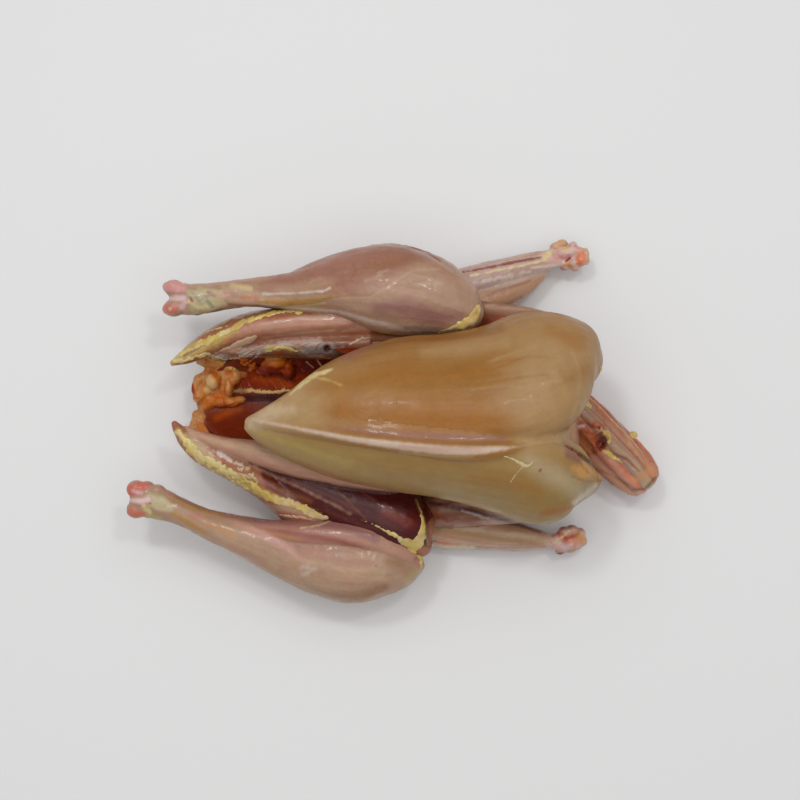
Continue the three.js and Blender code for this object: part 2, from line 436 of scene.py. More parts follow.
def strandPlaces(points, muscles):
    # each point's place along, across and through the muscle it belongs to, and that muscle's number
    best = np.full(len(points), 1e9)
    second = np.full(len(points), 1e9)
    owner = np.zeros(len(points), int)
    places = np.zeros((len(points), 3))
    for number, stations in enumerate(muscles):
        rows = stationRows(stations, 4)
        middles = np.array([spot(*row[:3]) for row in rows])
        turns = np.array([ringTurn(rows, i) for i in range(len(rows))])
        travel = np.concatenate([[0], np.cumsum(np.linalg.norm(np.diff(middles, axis=0), axis=1))])
        nearest = np.full(len(points), 1e9)
        index = np.zeros(len(points), int)
        for i, middle in enumerate(middles):
            gap = ((points - middle) ** 2).sum(axis=1)
            index[gap < nearest] = i
            nearest = np.minimum(nearest, gap)
        ahead = np.einsum("ni,ni->n", points - middles[index], turns[index][:, :, 2])
        spacing = travel[-1] / (len(rows) - 1)
        level = np.clip(index + ahead / spacing, 0, len(rows) - 1.001)
        low = level.astype(int)
        share = (level - low)[:, None]
        middle = middles[low] * (1 - share) + middles[low + 1] * share
        turn = turns[low] * (1 - share[:, :, None]) + turns[low + 1] * share[:, :, None]
        local = np.einsum("ni,nij->nj", points - middle, turn)
        halves = np.maximum(rows[low][:, 3:5] * (1 - share) + rows[low + 1][:, 3:5] * share, 1.0) * mm
        spread = np.linalg.norm(local[:, :2] / halves, axis=1)
        nearer = spread < best
        second = np.where(nearer, best, np.minimum(second, spread))
        owner[nearer] = number
        along = travel[low] + (travel[low + 1] - travel[low]) * share[:, 0]
        places[nearer] = np.column_stack([along, local[:, 0], local[:, 1]])[nearer]
        best = np.where(nearer, spread, best)
    return places, owner, second - best


usualLook = {"creaseWidth": 0.12, "creaseShade": 0.25, "patches": (), "wet": 0.3}
mottle = 0.05  # share of light and dark in the fine cloudiness of all flesh


def paint(piece, muscles, look):
    # writes the colour, wetness and strand place of every point of a piece
    look = {**usualLook, **look}
    points = meshVectors(piece, "co")
    if muscles:
        places, owner, margin = strandPlaces(points, muscles.values())
        baseTones = [look["base"].get(name, look["base"]["all"]) for name in muscles]
        colours = np.array([linear(tone) for tone in baseTones])[owner]
        crease = 1 - step(0.0, look["creaseWidth"], margin)
        colours = colours * (1 - look["creaseShade"] * crease)[:, None]
    else:
        places = points
        colours = np.tile(linear(look["base"]["all"]), (len(points), 1))
    for tone, size, stretch, share, shift in look["patches"]:
        drawn = places * (1 / stretch, 1, 1)
        amount = share * step(-0.1, 0.45, wobble(drawn, size, shift))
        colours += (linear(tone) - colours) * amount[:, None]
    wetness = np.full(len(points), look["wet"])
    for name, weight in strokeWeights(piece, look["strokes"]).items():
        stroke = look["strokes"][name]
        wetness += (1 - wetness) * weight * stroke["wet"]
        if stroke["tone"]:
            amount = weight * stroke["strength"]
            colours += (linear(stroke["tone"]) - colours) * amount[:, None]
    colours *= (1 + mottle * wobble(points, 5, 7.7) + mottle * wobble(points, 1.6, 1.3))[:, None]
    colours = np.clip(colours - studio["filmLight"], 0.003, 1)  # the wet film adds this much white
    tint = piece.data.color_attributes.new("tint", "FLOAT_COLOR", "POINT")
    tint.data.foreach_set("color", np.column_stack([colours, wetness]).ravel())
    strand = piece.data.attributes.new("strand", "FLOAT_VECTOR", "POINT")
    strand.data.foreach_set("vector", places.ravel())


# Shared finishes
def nodeGroup(name, inputs, outputs):
    group = bpy.data.node_groups.new(name, "ShaderNodeTree")
    for socket, kind, value in inputs:
        made = group.interface.new_socket(socket, in_out="INPUT", socket_type="NodeSocket" + kind)
        if value is not None:
            made.default_value = value
    for socket, kind in outputs:
        group.interface.new_socket(socket, in_out="OUTPUT", socket_type="NodeSocket" + kind)
    return group, group.nodes.new("NodeGroupInput"), group.nodes.new("NodeGroupOutput")


def plugIn(tree, plug, value):
    # a value is another node's output or a constant
    if isinstance(value, bpy.types.NodeSocket):
        tree.links.new(value, plug)
    else:
        plug.default_value = value


def addNode(tree, kind, settings=None, **sockets):
    node = tree.nodes.new(kind)
    for key, value in (settings or {}).items():
        setattr(node, key, value)
    for socket, value in sockets.items():
        plugIn(tree, node.inputs[socket.replace("_", " ")], value)
    return node


def addMath(tree, operation, first, second=0.0, third=0.0):
    node = tree.nodes.new("ShaderNodeMath")
    node.operation = operation
    for plug, value in zip(node.inputs, (first, second, third)):
        plugIn(tree, plug, value)
    return node.outputs[0]


def makeFleshGrain():
    # strands that run along the muscle, with a shade and a height
    group, start, end = nodeGroup(
        "fleshGrain",
        [("Strand", "Vector", None), ("Fineness", "Float", 700.0), ("Length", "Float", 0.12)],
        [("Shade", "Float"), ("Height", "Float")])
    stretch = addNode(group, "ShaderNodeCombineXYZ", X=start.outputs["Length"], Y=1.0, Z=1.0)
    drawn = group.nodes.new("ShaderNodeVectorMath")
    drawn.operation = "MULTIPLY"
    group.links.new(start.outputs["Strand"], drawn.inputs[0])
    group.links.new(stretch.outputs[0], drawn.inputs[1])
    strands = addNode(group, "ShaderNodeTexNoise", Vector=drawn.outputs[0],
                      Scale=start.outputs["Fineness"], Detail=3.0, Roughness=0.6)
    bundles = addNode(group, "ShaderNodeTexNoise", Vector=drawn.outputs[0],
                      Scale=addMath(group, "MULTIPLY", start.outputs["Fineness"], 0.25), Detail=2.0)
    both = addMath(group, "ADD", addMath(group, "MULTIPLY", strands.outputs[0], 0.55),
                   addMath(group, "MULTIPLY", bundles.outputs[0], 0.45))
    group.links.new(both, end.inputs["Height"])
    group.links.new(addMath(group, "MULTIPLY_ADD", both, 2.0, -1.0), end.inputs["Shade"])
    return group


def makeWetFilm():
    # where juice stands on the meat and where it has drained off
    group, start, end = nodeGroup(
        "wetFilm",
        [("Place", "Vector", None), ("Dry", "Float", 0.42), ("Wet", "Float", 0.2)],
        [("Roughness", "Float"), ("Film", "Float"), ("Beads", "Float")])
    pools = addNode(group, "ShaderNodeTexNoise", Vector=start.outputs["Place"], Scale=95.0, Detail=3.0)
    film = addNode(group, "ShaderNodeMapRange", Value=pools.outputs[0], From_Min=0.38, From_Max=0.62)
    rough = addNode(group, "ShaderNodeMapRange", Value=film.outputs[0], From_Min=0.0, From_Max=1.0,
                    To_Min=start.outputs["Dry"], To_Max=start.outputs["Wet"])
    beads = addNode(group, "ShaderNodeTexNoise", Vector=start.outputs["Place"], Scale=900.0, Detail=2.0)
    group.links.new(rough.outputs[0], end.inputs["Roughness"])
    group.links.new(film.outputs[0], end.inputs["Film"])
    group.links.new(beads.outputs[0], end.inputs["Beads"])
    return group


fleshGrain = makeFleshGrain()
wetFilm = makeWetFilm()


def fleshMaterial(name, **special):
    finish = {**commonFlesh, **special}
    material = bpy.data.materials.new(name)
    material.use_nodes = True
    tree = material.node_tree
    skin = tree.nodes["Principled BSDF"]
    for socket, value in finish["skin"].items():
        skin.inputs[socket].default_value = value
    skin.inputs["Subsurface Weight"].default_value = finish["glow"]
    skin.inputs["Subsurface Radius"].default_value = finish["glowReach"]
    skin.inputs["IOR"].default_value = finish["density"]
    tint = addNode(tree, "ShaderNodeVertexColor", {"layer_name": "tint"})
    strand = addNode(tree, "ShaderNodeAttribute", {"attribute_name": "strand"})
    place = tree.nodes.new("ShaderNodeTexCoord")
    grain = addNode(tree, "ShaderNodeGroup", {"node_tree": fleshGrain}, Strand=strand.outputs["Vector"],
                    Fineness=finish["fineness"], Length=finish["strandLength"])
    film = addNode(tree, "ShaderNodeGroup", {"node_tree": wetFilm}, Place=place.outputs["Object"],
                   Dry=finish["dry"], Wet=finish["wet"])
    shaded = addNode(tree, "ShaderNodeVectorMath", {"operation": "SCALE"})
    tree.links.new(tint.outputs["Color"], shaded.inputs[0])
    shade = addMath(tree, "MULTIPLY_ADD", grain.outputs["Shade"], finish["streaks"], 1.0)
    tree.links.new(shade, shaded.inputs["Scale"])
    tree.links.new(shaded.outputs[0], skin.inputs["Base Color"])
    tree.links.new(film.outputs["Roughness"], skin.inputs["Roughness"])
    drained = finish["drainedFilm"]  # the share of the wet film that stays where juice has drained off
    pooled = addMath(tree, "MULTIPLY_ADD", film.outputs["Film"], 1 - drained, drained)
    tree.links.new(addMath(tree, "MULTIPLY", pooled, tint.outputs["Alpha"]), skin.inputs["Coat Weight"])
    relief = addMath(tree, "ADD", addMath(tree, "MULTIPLY", grain.outputs["Height"], finish["relief"]),
                     addMath(tree, "MULTIPLY", film.outputs["Beads"], finish["beads"]))
    bump = addNode(tree, "ShaderNodeBump", Height=relief, Strength=finish["reliefShare"], Distance=mm)
    tree.links.new(bump.outputs[0], skin.inputs["Normal"])
    return material


commonFlesh = {
    "skin": {"Subsurface Scale": 0.0025, "Coat Roughness": 0.1, "Coat IOR": 1.4},
    "glow": 0.25,
    "density": 1.4,
    "wet": 0.26,
    "drainedFilm": 0.3,
    "reliefShare": 0.6,
}
breastFlesh = fleshMaterial(
    "breastFlesh", glowReach=(1.0, 0.45, 0.2), fineness=420.0, strandLength=0.08, dry=0.46, wet=0.34,
    streaks=0.16, relief=0.4, beads=0.2)
legFlesh = fleshMaterial(
    "legFlesh", glowReach=(1.0, 0.4, 0.25), fineness=520.0, strandLength=0.07, dry=0.42, streaks=0.2,
    relief=0.35, beads=0.22)
cavityFlesh = fleshMaterial(
    "cavityFlesh", glow=0.2, glowReach=(1.0, 0.3, 0.15), fineness=400.0, strandLength=0.5, density=1.22,
    dry=0.6, wet=0.28, streaks=0.3, relief=0.6, beads=0.4)
softFat = fleshMaterial(
    "softFat", glow=0.35, glowReach=(1.0, 0.7, 0.35), fineness=600.0, strandLength=0.8, dry=0.4,
    streaks=0.16, relief=0.4, beads=0.35)

# Stage: a pale floor, a wide weak light overhead, two small ones for the wet gleams and a pale sky
studio = {
    "floorSize": 3.0,
    "floorTone": (0.8, 0.8, 0.8, 1),
    "floorRoughness": 0.6,
    "skyStrength": 0.38,
    "filmLight": 0.022,
    "lights": [  # place in metres, size, power
        ((0.0, 0.1, 1.3), 2.0, 10.0),
        ((-0.22, 0.3, 0.95), 0.12, 1.3),
        ((0.25, 0.25, 1.0), 0.1, 0.9),
    ],
}


def makeStage():
    bpy.ops.mesh.primitive_plane_add(size=studio["floorSize"], location=(0, 0, 0))
    floor = bpy.context.object
    floor.name = "floor"
    paper = bpy.data.materials.new("palePaper")
    paper.use_nodes = True
    sheen = paper.node_tree.nodes["Principled BSDF"]
    sheen.inputs["Base Color"].default_value = studio["floorTone"]
    sheen.inputs["Roughness"].default_value = studio["floorRoughness"]
    floor.data.materials.append(paper)
    for place, size, power in studio["lights"]:
        bpy.ops.object.light_add(type="AREA", location=place)
        light = bpy.context.object
        light.data.size = size
        light.data.energy = power
        light.rotation_euler = Vector(place).to_track_quat("Z", "Y").to_euler()
    sky = bpy.data.worlds.new("paleSky")
    sky.use_nodes = True
    sky.node_tree.nodes["Background"].inputs["Color"].default_value = (1, 1, 1, 1)
    sky.node_tree.nodes["Background"].inputs["Strength"].default_value = studio["skyStrength"]
    bpy.context.scene.world = sky
    bpy.context.scene.view_settings.view_transform = "Standard"


def finishPiece(piece, muscles, look, material):
    # paint, material and the calls that tie the piece to the frame
    paint(piece, muscles, look)
    piece.data.materials.clear()
    piece.data.materials.append(material)
    pickOut([piece])
    bpy.ops.object.shade_smooth()
    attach(piece, "root")
    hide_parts("chicken")
    print("made", piece.name, len(piece.data.polygons), "faces")
    return piece


def makeMeat(name, muscles, look, shape, material, lumps=(), bits=()):
    # muscles and lumps grown into one skin, roughened with torn bits, made uneven, carved and painted
    parts = [addMuscle(part, stations, shape.get("sides", 24)) for part, stations in muscles.items()]
    parts += lumpsAtPixels(lumps)
    piece = grownTogether(name, parts, shape["voxel"], shape["smooths"])
    if bits:
        piece = roughened(piece, bits, shape["bitVoxel"], shape["bitSmooths"])
    for size, height in shape["uneven"]:
        lumpy(piece, size, height)
    carve(piece, look["strokes"])
    smoothed(piece, 1)
    return finishPiece(piece, muscles, look, material)


# Breast: two fillets on the breastbone, with the keel as a pale ridge
breastMuscles = {
    "rightFillet": [
        [-60, -3.6, 61, 2, 3], [-51, -2, 61.5, 5.2, 5.2, -35], [-38, 1.6, 63.5, 10.6, 8.4, -38],
        [-20, 6.8, 65, 19, 12.6, -38], [3, 10.1, 64, 26.4, 15.5, -38], [25, 10.7, 63, 28.4, 16.5, -38],
        [48, 13.1, 61, 30.6, 18.5, -35], [62, 20, 57, 28.2, 20, -28], [70, 23.2, 54, 23.2, 18.5, -22],
        [76, 24.6, 50.8, 18.2, 15.8, -18], [81, 24.2, 48.2, 13.8, 12.4, -12],
        [84.6, 23.6, 47, 10.2, 8.8, -6], [87.2, 23.2, 46.6, 6.4, 5.4], [88.6, 23, 46.5, 2.8, 2.8]],
    "leftFillet": [
        [-60, -4, 61, 2, 3], [-51, -7, 60.5, 7.2, 5.1, 50], [-38, -11, 61.5, 11.6, 7.4, 58],
        [-20, -15.5, 63.5, 16, 9.2, 60], [3, -18, 63.5, 20, 10.8, 62], [25, -20.5, 63, 21, 11.6, 62],
        [48, -24, 60, 22.4, 13.4, 58], [62, -26.3, 56, 21, 16, 46], [70, -24.8, 52, 16.8, 14.8, 40],
        [76.5, -25.2, 47.5, 11.6, 11, 30], [82.5, -25.6, 43.5, 6.2, 7.4, 20], [87.4, -25, 41.5, 2, 3]],
    "breastbone": [
        [-55, -3, 58, 2, 3], [-48, -3, 58, 6, 9, 4], [-37, -3.5, 59, 9, 16, 6], [-16, -5, 60, 12, 21, 8],
        [3, -6.5, 61, 14, 23, 9], [23, -8, 61, 15, 23, 9], [43, -9.5, 59, 15, 22, 9],
        [57, -9, 53, 14, 20, 6], [66, -8, 48, 10, 14], [70.5, -7, 45, 3, 4]],
    "keel": [
        [-57, -3, 62.5, 1.4, 2], [-52, -3.8, 65.5, 2.2, 3.4], [-37, -7.2, 72.5, 2.6, 4.2],
        [-16, -11.4, 78, 3, 4.6], [3, -14, 80.4, 3.4, 4.6], [23, -16.5, 81.2, 3.8, 4.4],
        [36, -17, 80.8, 3.6, 4.2], [47, -15.8, 78.4, 3, 4], [55, -14.4, 75, 2, 3]],
}
breastLook = {
    "base": {"all": "breastTan", "leftFillet": "breastOlive"},
    "creaseShade": 0.0,
    "wet": 0.22,
    "patches": [("breastPale", 24, 3, 0.22, 2.0), ("breastOrange", 15, 3, 0.25, 9.0),
                ("breastBrown", 5, 5, 0.1, 4.0)],
    "strokes": {
        "paleTip": mark("breastPale", [(240, 424), (262, 396), (300, 378), (322, 392), (322, 424),
            (288, 432), (256, 434)], 34, 0.85, closed=True),
        # painted highlight: wet cream specks on the breast's tip
        "tipHighlight": mark("breastCream", [(252, 424, 5), (270, 412, 7), (292, 409, 3)], 14, 0.7, ragged=3.0,
            wet=0.5),
        "frontTan": mark("breastFront", [(512, 330), (560, 316), (606, 346), (594, 400), (566, 445),
            (520, 442), (500, 400)], 56, 0.9, closed=True),
        "orangeBand": mark("breastOrange", [(345, 410, 8), (400, 416, 12), (455, 420, 12), (500, 420, 7)],
            20, 0.62),
        "upperOrange": mark("breastOrange", [(310, 390, 4), (370, 378, 5), (430, 374, 5), (500, 372, 4)],
            13, 0.35),
        # painted shade: a darker brown band along the breast's upper edge, where it turns from the light
        "upperEdgeShade": mark("breastBrown", [(300, 378), (340, 354), (400, 341), (450, 339), (500, 328)], 13,
            0.75, wide=2),
        # painted highlight: a pale band across the top of the upper lobe
        "saddleHighlight": mark("breastPale", [(425, 352, 5), (465, 349, 7), (505, 342, 5)], 14, 0.5),
        "orangeShoulder": mark("breastOrange", [(552, 330, 6), (578, 342, 7)], 16, 0.5),
        "brownFront": mark("breastTan", [(566, 378, 4), (590, 372, 8)], 16, 0.6),
        "fibreA": mark("breastOrange", [(462, 374), (494, 369), (528, 356)], 3.5, 0.55, wide=0.8,
            rise=-0.12, ragged=1.0),
        "fibreB": mark("breastOrange", [(478, 384), (514, 378), (549, 374)], 3.5, 0.5, wide=0.8, rise=-0.12,
            ragged=1.0),
        "fibreC": mark("breastOrange", [(500, 362), (530, 356), (556, 358)], 3.5, 0.5, wide=0.8, rise=-0.12,
            ragged=1.0),
        "fibreD": mark("breastPale", [(488, 362), (516, 352), (536, 346)], 4, 0.55, wide=0.8, rise=0.12,
            ragged=1.0),
        "fibreE": mark("breastPale", [(510, 390), (540, 383), (562, 380)], 4, 0.45, wide=0.8, rise=0.1,
            ragged=1.0),
        "fibreF": mark("breastPale", [(470, 390), (505, 385), (530, 388)], 3, 0.35, wide=0.6, ragged=1.0),
        "frontCrease": mark("breastPale", [(571, 352), (580, 374), (578, 400), (567, 436)], 7, 0.6, wide=1,
            rise=-0.5, ragged=1.0),
        "mauveBesideKeel": mark("keelMauve", [(330, 427, 1), (390, 434, 3), (440, 437, 4), (505, 439, 3)],
            7, 0.8),
        "keelStrip": mark("keelWhite", [(253, 420, 0.8), (285, 426, 1.6), (314, 432, 2), (345, 438, 2.6),
            (371, 442, 3.2), (411, 447, 4.2), (440, 450, 4.8), (466, 451, 4.8), (486, 450, 4),
            (502, 448.5, 2.2), (515, 447, 0.6)], 3.4, 0.85, rise=0.3, ragged=0.8),
        "keelCore": mark("keelPink", [(400, 446, 1.5), (440, 449, 2.6), (480, 449.5, 2)], 4, 0.8),
        "keelUnderRim": mark("fatOlive", [(400, 452.6), (440, 456.4), (472, 457)], 2.4, 0.55, wide=0.8),
        "lineToNotch": mark("sheath", [(515, 447), (538, 443), (561, 441)], 2, 0.4, wide=0.5),
        "oliveUnderKeel": mark("breastOlive", [(290, 442, 5), (350, 458, 10), (430, 470, 12),
            (500, 470, 8)], 18, 0.4),
        "yellowTipUnder": mark("fatOlive", [(262, 433, 3), (300, 447, 5), (350, 464, 3)], 12, 0.35),
        "orangeLobe": mark("breastOrange", [(470, 478, 4), (512, 482, 8), (538, 492, 5)], 18, 0.4),
        "paleLobe": mark("breastGrey", [(530, 462, 6), (552, 474, 10), (576, 490, 8)], 22, 0.8),
        "paleNotch": mark("breastPale", [(520, 440, 3), (556, 436, 6)], 12, 0.8),
        "rosyLowerEdge": mark("breastRosy", [(300, 464), (360, 484), (420, 494)], 8, 0.7, wide=1.5),
        "paleLowerEdge": mark("breastPale", [(440, 498), (470, 502), (500, 512)], 5, 0.6, wide=1.5),
        "lowerFrontSheen": mark("sheathWhiteAndHighlight", [(597, 484, 1), (588, 492, 2.6), (574, 503, 2)], 6, 0.45,
            ragged=1.4, wet=0.8),
        "flapOrange": mark("flapMustard", [(572, 468), (584, 463), (601, 473), (602, 479), (580, 479)], 9,
            0.85, ragged=2.0, closed=True),
        "flapStreaks": mark("breastBrown", [(580, 464), (588, 472), (598, 480)], 3, 0.6, wide=1, rise=-0.2,
            ragged=1.6),
        "flapPink": mark("breastRosy", [(568, 446, 2), (576, 455, 3)], 6, 0.6, ragged=1.5),
        "flapBrown": mark("wingBrown", [(563, 442), (574, 448), (584, 458), (578, 464), (566, 458)], 5, 0.8,
            closed=True),
        "flapEdge": mark("breastBrown", [(572, 476), (584, 481), (601, 481)], 3, 0.6, wide=0.6, rise=-0.4,
            ragged=1.2),
        # painted shade in the seam between the flap and the neck, which is also carved in
        "flapSeamShade": mark("paintedShadeRed", [(566, 446, 0.4), (576, 451, 0.8), (586, 459, 2), (603, 472, 2.6)],
            2.5, 0.9, rise=-1.8, ragged=0.8),
        "lowerFrontOrange": mark("breastOrange", [(542, 514, 2), (556, 512, 4), (570, 509, 2)], 6, 0.75,
            ragged=1.0),
        "redDot": mark("bloodRed", [(540, 470.5)], 1.6, 0.9, wide=1.5),
        "speckA": mark("breastBrown", [(397, 391)], 1.6, 0.8, wide=0.6),
        # painted highlights: two small wet cream flecks
        "highlightFleckB": mark("breastCream", [(531, 396)], 2, 0.8, wide=0.8, wet=1.0),
        "highlightFleckC": mark("breastCream", [(543, 384)], 2, 0.8, wide=0.8, wet=1.0),
        "edgeWisp": mark("fatPale", [(290, 394, 0.8), (302, 384, 2), (312, 376, 2.4), (324, 372, 2),
            (332, 370, 0.8)], 2.4, 0.85, rise=0.2, ragged=1.2),
        "edgeWispTail": mark("fatYellow", [(314, 377), (328, 380), (342, 385)], 2.4, 0.7, wide=0.7,
            rise=0.1, ragged=0.8),
        "pinkMembrane": mark("legRose", [(338, 361), (346, 348), (354, 338), (376, 335), (386, 341),
            (366, 350), (352, 360)], 4, 0.8, wet=0.6, closed=True),
    },
}


breastShape = {"voxel": 0.8, "smooths": 16, "uneven": [(26, 0.5), (7, 0.1)]}  # sizes in millimetres


# Trunk: the back and ribs, hollow behind and under the breast
trunkMuscles = {
    "trunk": [
        [-86, 11, 10, 6, 4], [-82, 11, 11, 12, 8], [-66, 10, 16, 24, 19], [-45, 8, 21, 30, 24.5],
        [-15, 5, 26, 33, 30], [20, 2, 30, 34, 34], [46, -0.5, 32, 34, 35], [64, -2, 33, 29, 30],
        [74, -4, 34, 19, 19], [79, -4, 35, 8, 9]],
}
cavityStations = [
    [-112, 10, 40, 16, 25], [-86, 10, 38, 16.5, 24], [-66, 11.5, 37, 19, 24], [-45, 12, 37, 20, 23.5],
    [-20, 10, 36, 19.5, 21.5], [5, 6, 32, 18, 16], [30, 1, 30, 14, 12.5], [46, -1, 29, 7, 7]]
trunkLook = {
    "base": {"all": "wingTan"},
    "wet": 0.06,
    "patches": [("legPink", 24, 1, 0.4, 1.0), ("breastPale", 15, 1, 0.3, 5.0), ("thighRed", 9, 2, 0.3, 3.0)],
    "strokes": {
        "hollow": mark("cavityMaroon", [(196, 352), (345, 330), (360, 345), (345, 440), (205, 446)], 10,
            0.95, closed=True, under=0.7),
        "deepHollow": mark("cavityMaroon", [(340, 388, 44), (420, 396, 44), (480, 402, 36), (512, 406, 22)],
            12, 0.95, under=0.7),
        "farRed": mark("cavityPurple", [(306, 366, 8), (318, 370, 7)], 8, 0.75, ragged=1.6),
        "ribRed": mark("cavityRed", [(232, 380, 6), (262, 380, 10), (290, 382, 9), (330, 380, 5)], 10,
            0.95),
        "ribOrange": mark("cavityOrange", [(254, 378, 2), (276, 380, 4), (290, 386, 3)], 10, 0.6,
            ragged=2.0),
        "leftWall": mark("cavityMaroon", [(208, 418), (225, 408), (252, 402), (264, 440), (216, 446)], 8,
            0.92, closed=True),
        "wallGlow": mark("cavityOrange", [(216, 418, 2), (228, 412, 3), (240, 409, 1.5)], 10, 0.6),
        # painted shade in the hollow under the spine
        "shadeBelowSpine": mark("paintedShadeRed", [(240, 398, 3), (275, 399, 5), (300, 398, 5)], 7, 0.9, under=0.7),
        "leftRim": mark("cavityOrange", [(204, 436, 3), (216, 441, 2), (240, 443, 1.5)], 5, 0.7),
    },
}


trunkShape = {"voxel": 1.0, "smooths": 6}


def makeTrunk():
    trunk = addMuscle("trunk", trunkMuscles["trunk"])
    hollow = addMuscle("hollow", cavityStations)
    useModifier(trunk, "BOOLEAN", operation="DIFFERENCE", object=hollow, solver="EXACT")
    bpy.data.objects.remove(hollow)
    trunk = grownTogether("trunk", [trunk], trunkShape["voxel"], trunkShape["smooths"])
    bpy.ops.object.mode_set(mode="EDIT")
    bpy.ops.mesh.select_all(action="SELECT")
    bpy.ops.mesh.bisect(plane_co=(0, 0, 0), plane_no=(0, 0, 1), use_fill=True, clear_inner=True)
    bpy.ops.object.mode_set(mode="OBJECT")
    return finishPiece(trunk, trunkMuscles, trunkLook, cavityFlesh)


# Tail tissue: torn soft lumps round the mouth of the cavity; a lump is across, down, height, half sizes
tailLumps = [
    (208, 362, 20, (4.6, 2.6, 3.6)), (200, 362, 20, (2.4, 1.2, 2)), (218, 362, 20, (4.4, 3.4, 4)),
    (229, 366, 19, (4.4, 3.6, 4)), (222, 374, 17, (5, 4, 4)), (208, 374, 17, (3, 2.6, 3.6)),
    (213, 381, 20, (3.6, 4.2, 4)), (199, 380, 17, (2.8, 3, 3.6)), (196, 388, 16, (2.2, 3.6, 3.4)),
    (199, 397, 15.5, (3, 3, 3.6)), (207, 391, 16, (4, 3.6, 4)), (221, 388, 15, (3.6, 5, 3.6)),
    (229, 387, 18, (2.2, 4.8, 4)), (236, 376, 17, (2.4, 4, 4.4)), (212, 400, 14.5, (4.4, 3.4, 3.6)),
    (222, 401, 14.5, (4.6, 3, 3.6)), (231, 402, 14.5, (4, 2.4, 3)), (207, 407, 13.5, (3.4, 1.8, 3)),
    (240, 400, 13.5, (3, 2, 3)), (197, 415, 14.5, (2.6, 2.6, 3.4)), (195, 424, 14.5, (2.4, 3.4, 3.6)),
    (202, 421, 13.5, (3.2, 4.2, 3.6)), (205, 431, 14.5, (4, 3, 3.6)), (197, 431, 15.5, (3, 1.8, 3)),
    (188, 429, 16, (2.8, 1, 1.6)), (214, 437, 17.5, (4.6, 1.6, 3.6)), (228, 441, 20, (5, 1.2, 3.6)),
    (243, 442.5, 22, (5, 1, 3.6)), (240, 361, 18, (4, 3, 3.6)), (250, 363, 17, (3.8, 3, 3.4)),
    (256, 369, 15, (2.8, 3, 3)), (244, 371, 16, (3.6, 3.4, 3.4)), (222, 381, 16.5, (3, 3, 3.6)),
]
tornBits = dict(size=2.8, stray=1.0, gap=2.6, flat=0.3, tilt=1.0)
tailBits = [
    dict(path=[(200, 360, 4), (222, 362, 5), (238, 370, 5)], **tornBits),
    dict(path=[(204, 372, 4), (222, 378, 3), (236, 384, 4)], **tornBits),
    dict(path=[(196, 384, 3), (199, 398, 5), (216, 402, 6), (234, 402, 4)], **tornBits),
    dict(path=[(196, 416, 3), (202, 430, 5), (216, 438, 2)], **tornBits),
    dict(path=[(194, 380, 2), (192, 392, 2), (193, 404, 2)], **{**tornBits, "size": 1.8}),
]
tailLook = {
    "base": {"all": "tailOrange"},
    "wet": 0.55,
    "patches": [("tailTan", 7, 1, 0.85, 2.0), ("tailPale", 3, 1, 0.5, 6.0), ("cavityOrange", 5, 1, 0.5, 3.0)],
    "strokes": {
        "leftTan": mark("tailTan", [(196, 376, 3), (199, 396, 3)], 6, 0.7),
        "lowerTan": mark("tailTan", [(195, 418, 4), (200, 430, 4)], 6, 0.7),
        "topTan": mark("tailTan", [(202, 364, 3), (222, 368, 4)], 6, 0.6, ragged=1.5),
        "orangeMass": mark("tailOrange", [(202, 402, 4), (218, 406, 5), (236, 404, 3)], 8, 0.6),
        "redBetween": mark("cavityOrange", [(215, 396), (224, 402), (232, 412)], 5, 0.8, wide=2.5),
        "lowerOrange": mark("tailOrange", [(196, 432, 4), (206, 424, 7), (218, 416, 4)], 6, 0.8),
        "lowerRed": mark("cavityOrange", [(206, 438, 3), (226, 442, 2), (243, 442, 2)], 5, 0.8),
        "paleKnob": mark("tailPale", [(209, 380, 5), (212, 387, 6)], 4, 0.9, wet=0.9),
        "knobCore": mark("boneCream", [(207, 389, 3)], 4, 0.6),
        "fold": mark("tailTan", [(228, 380, 1.6), (229, 390, 2), (227, 396, 1.5)], 4, 0.6, wet=0.8),
        "foldShade": mark("cavityOrange", [(221, 377), (220, 390), (225, 399)], 2.5, 0.9, wide=1,
            rise=-0.5),
        "redSpot": mark("bloodRed", [(192, 385, 1.6), (193, 392, 1.8)], 2.5, 0.8),
        "topYellow": mark("fatYellow", [(206, 357), (220, 362), (238, 371)], 3, 0.75, wide=1.6, rise=0,
            ragged=1.0),
        "brownInside": mark("wingBrown", [(238, 368, 4), (246, 374, 4)], 6, 0.7, ragged=2.0),
        "redDeep": mark("cavityRed", [(252, 374, 3), (258, 368, 2)], 5, 0.8, ragged=2.0),
    },
}


tailShape = {"voxel": 0.6, "smooths": 6, "bitVoxel": 0.42, "bitSmooths": 4, "uneven": [(3.4, 0.25)]}


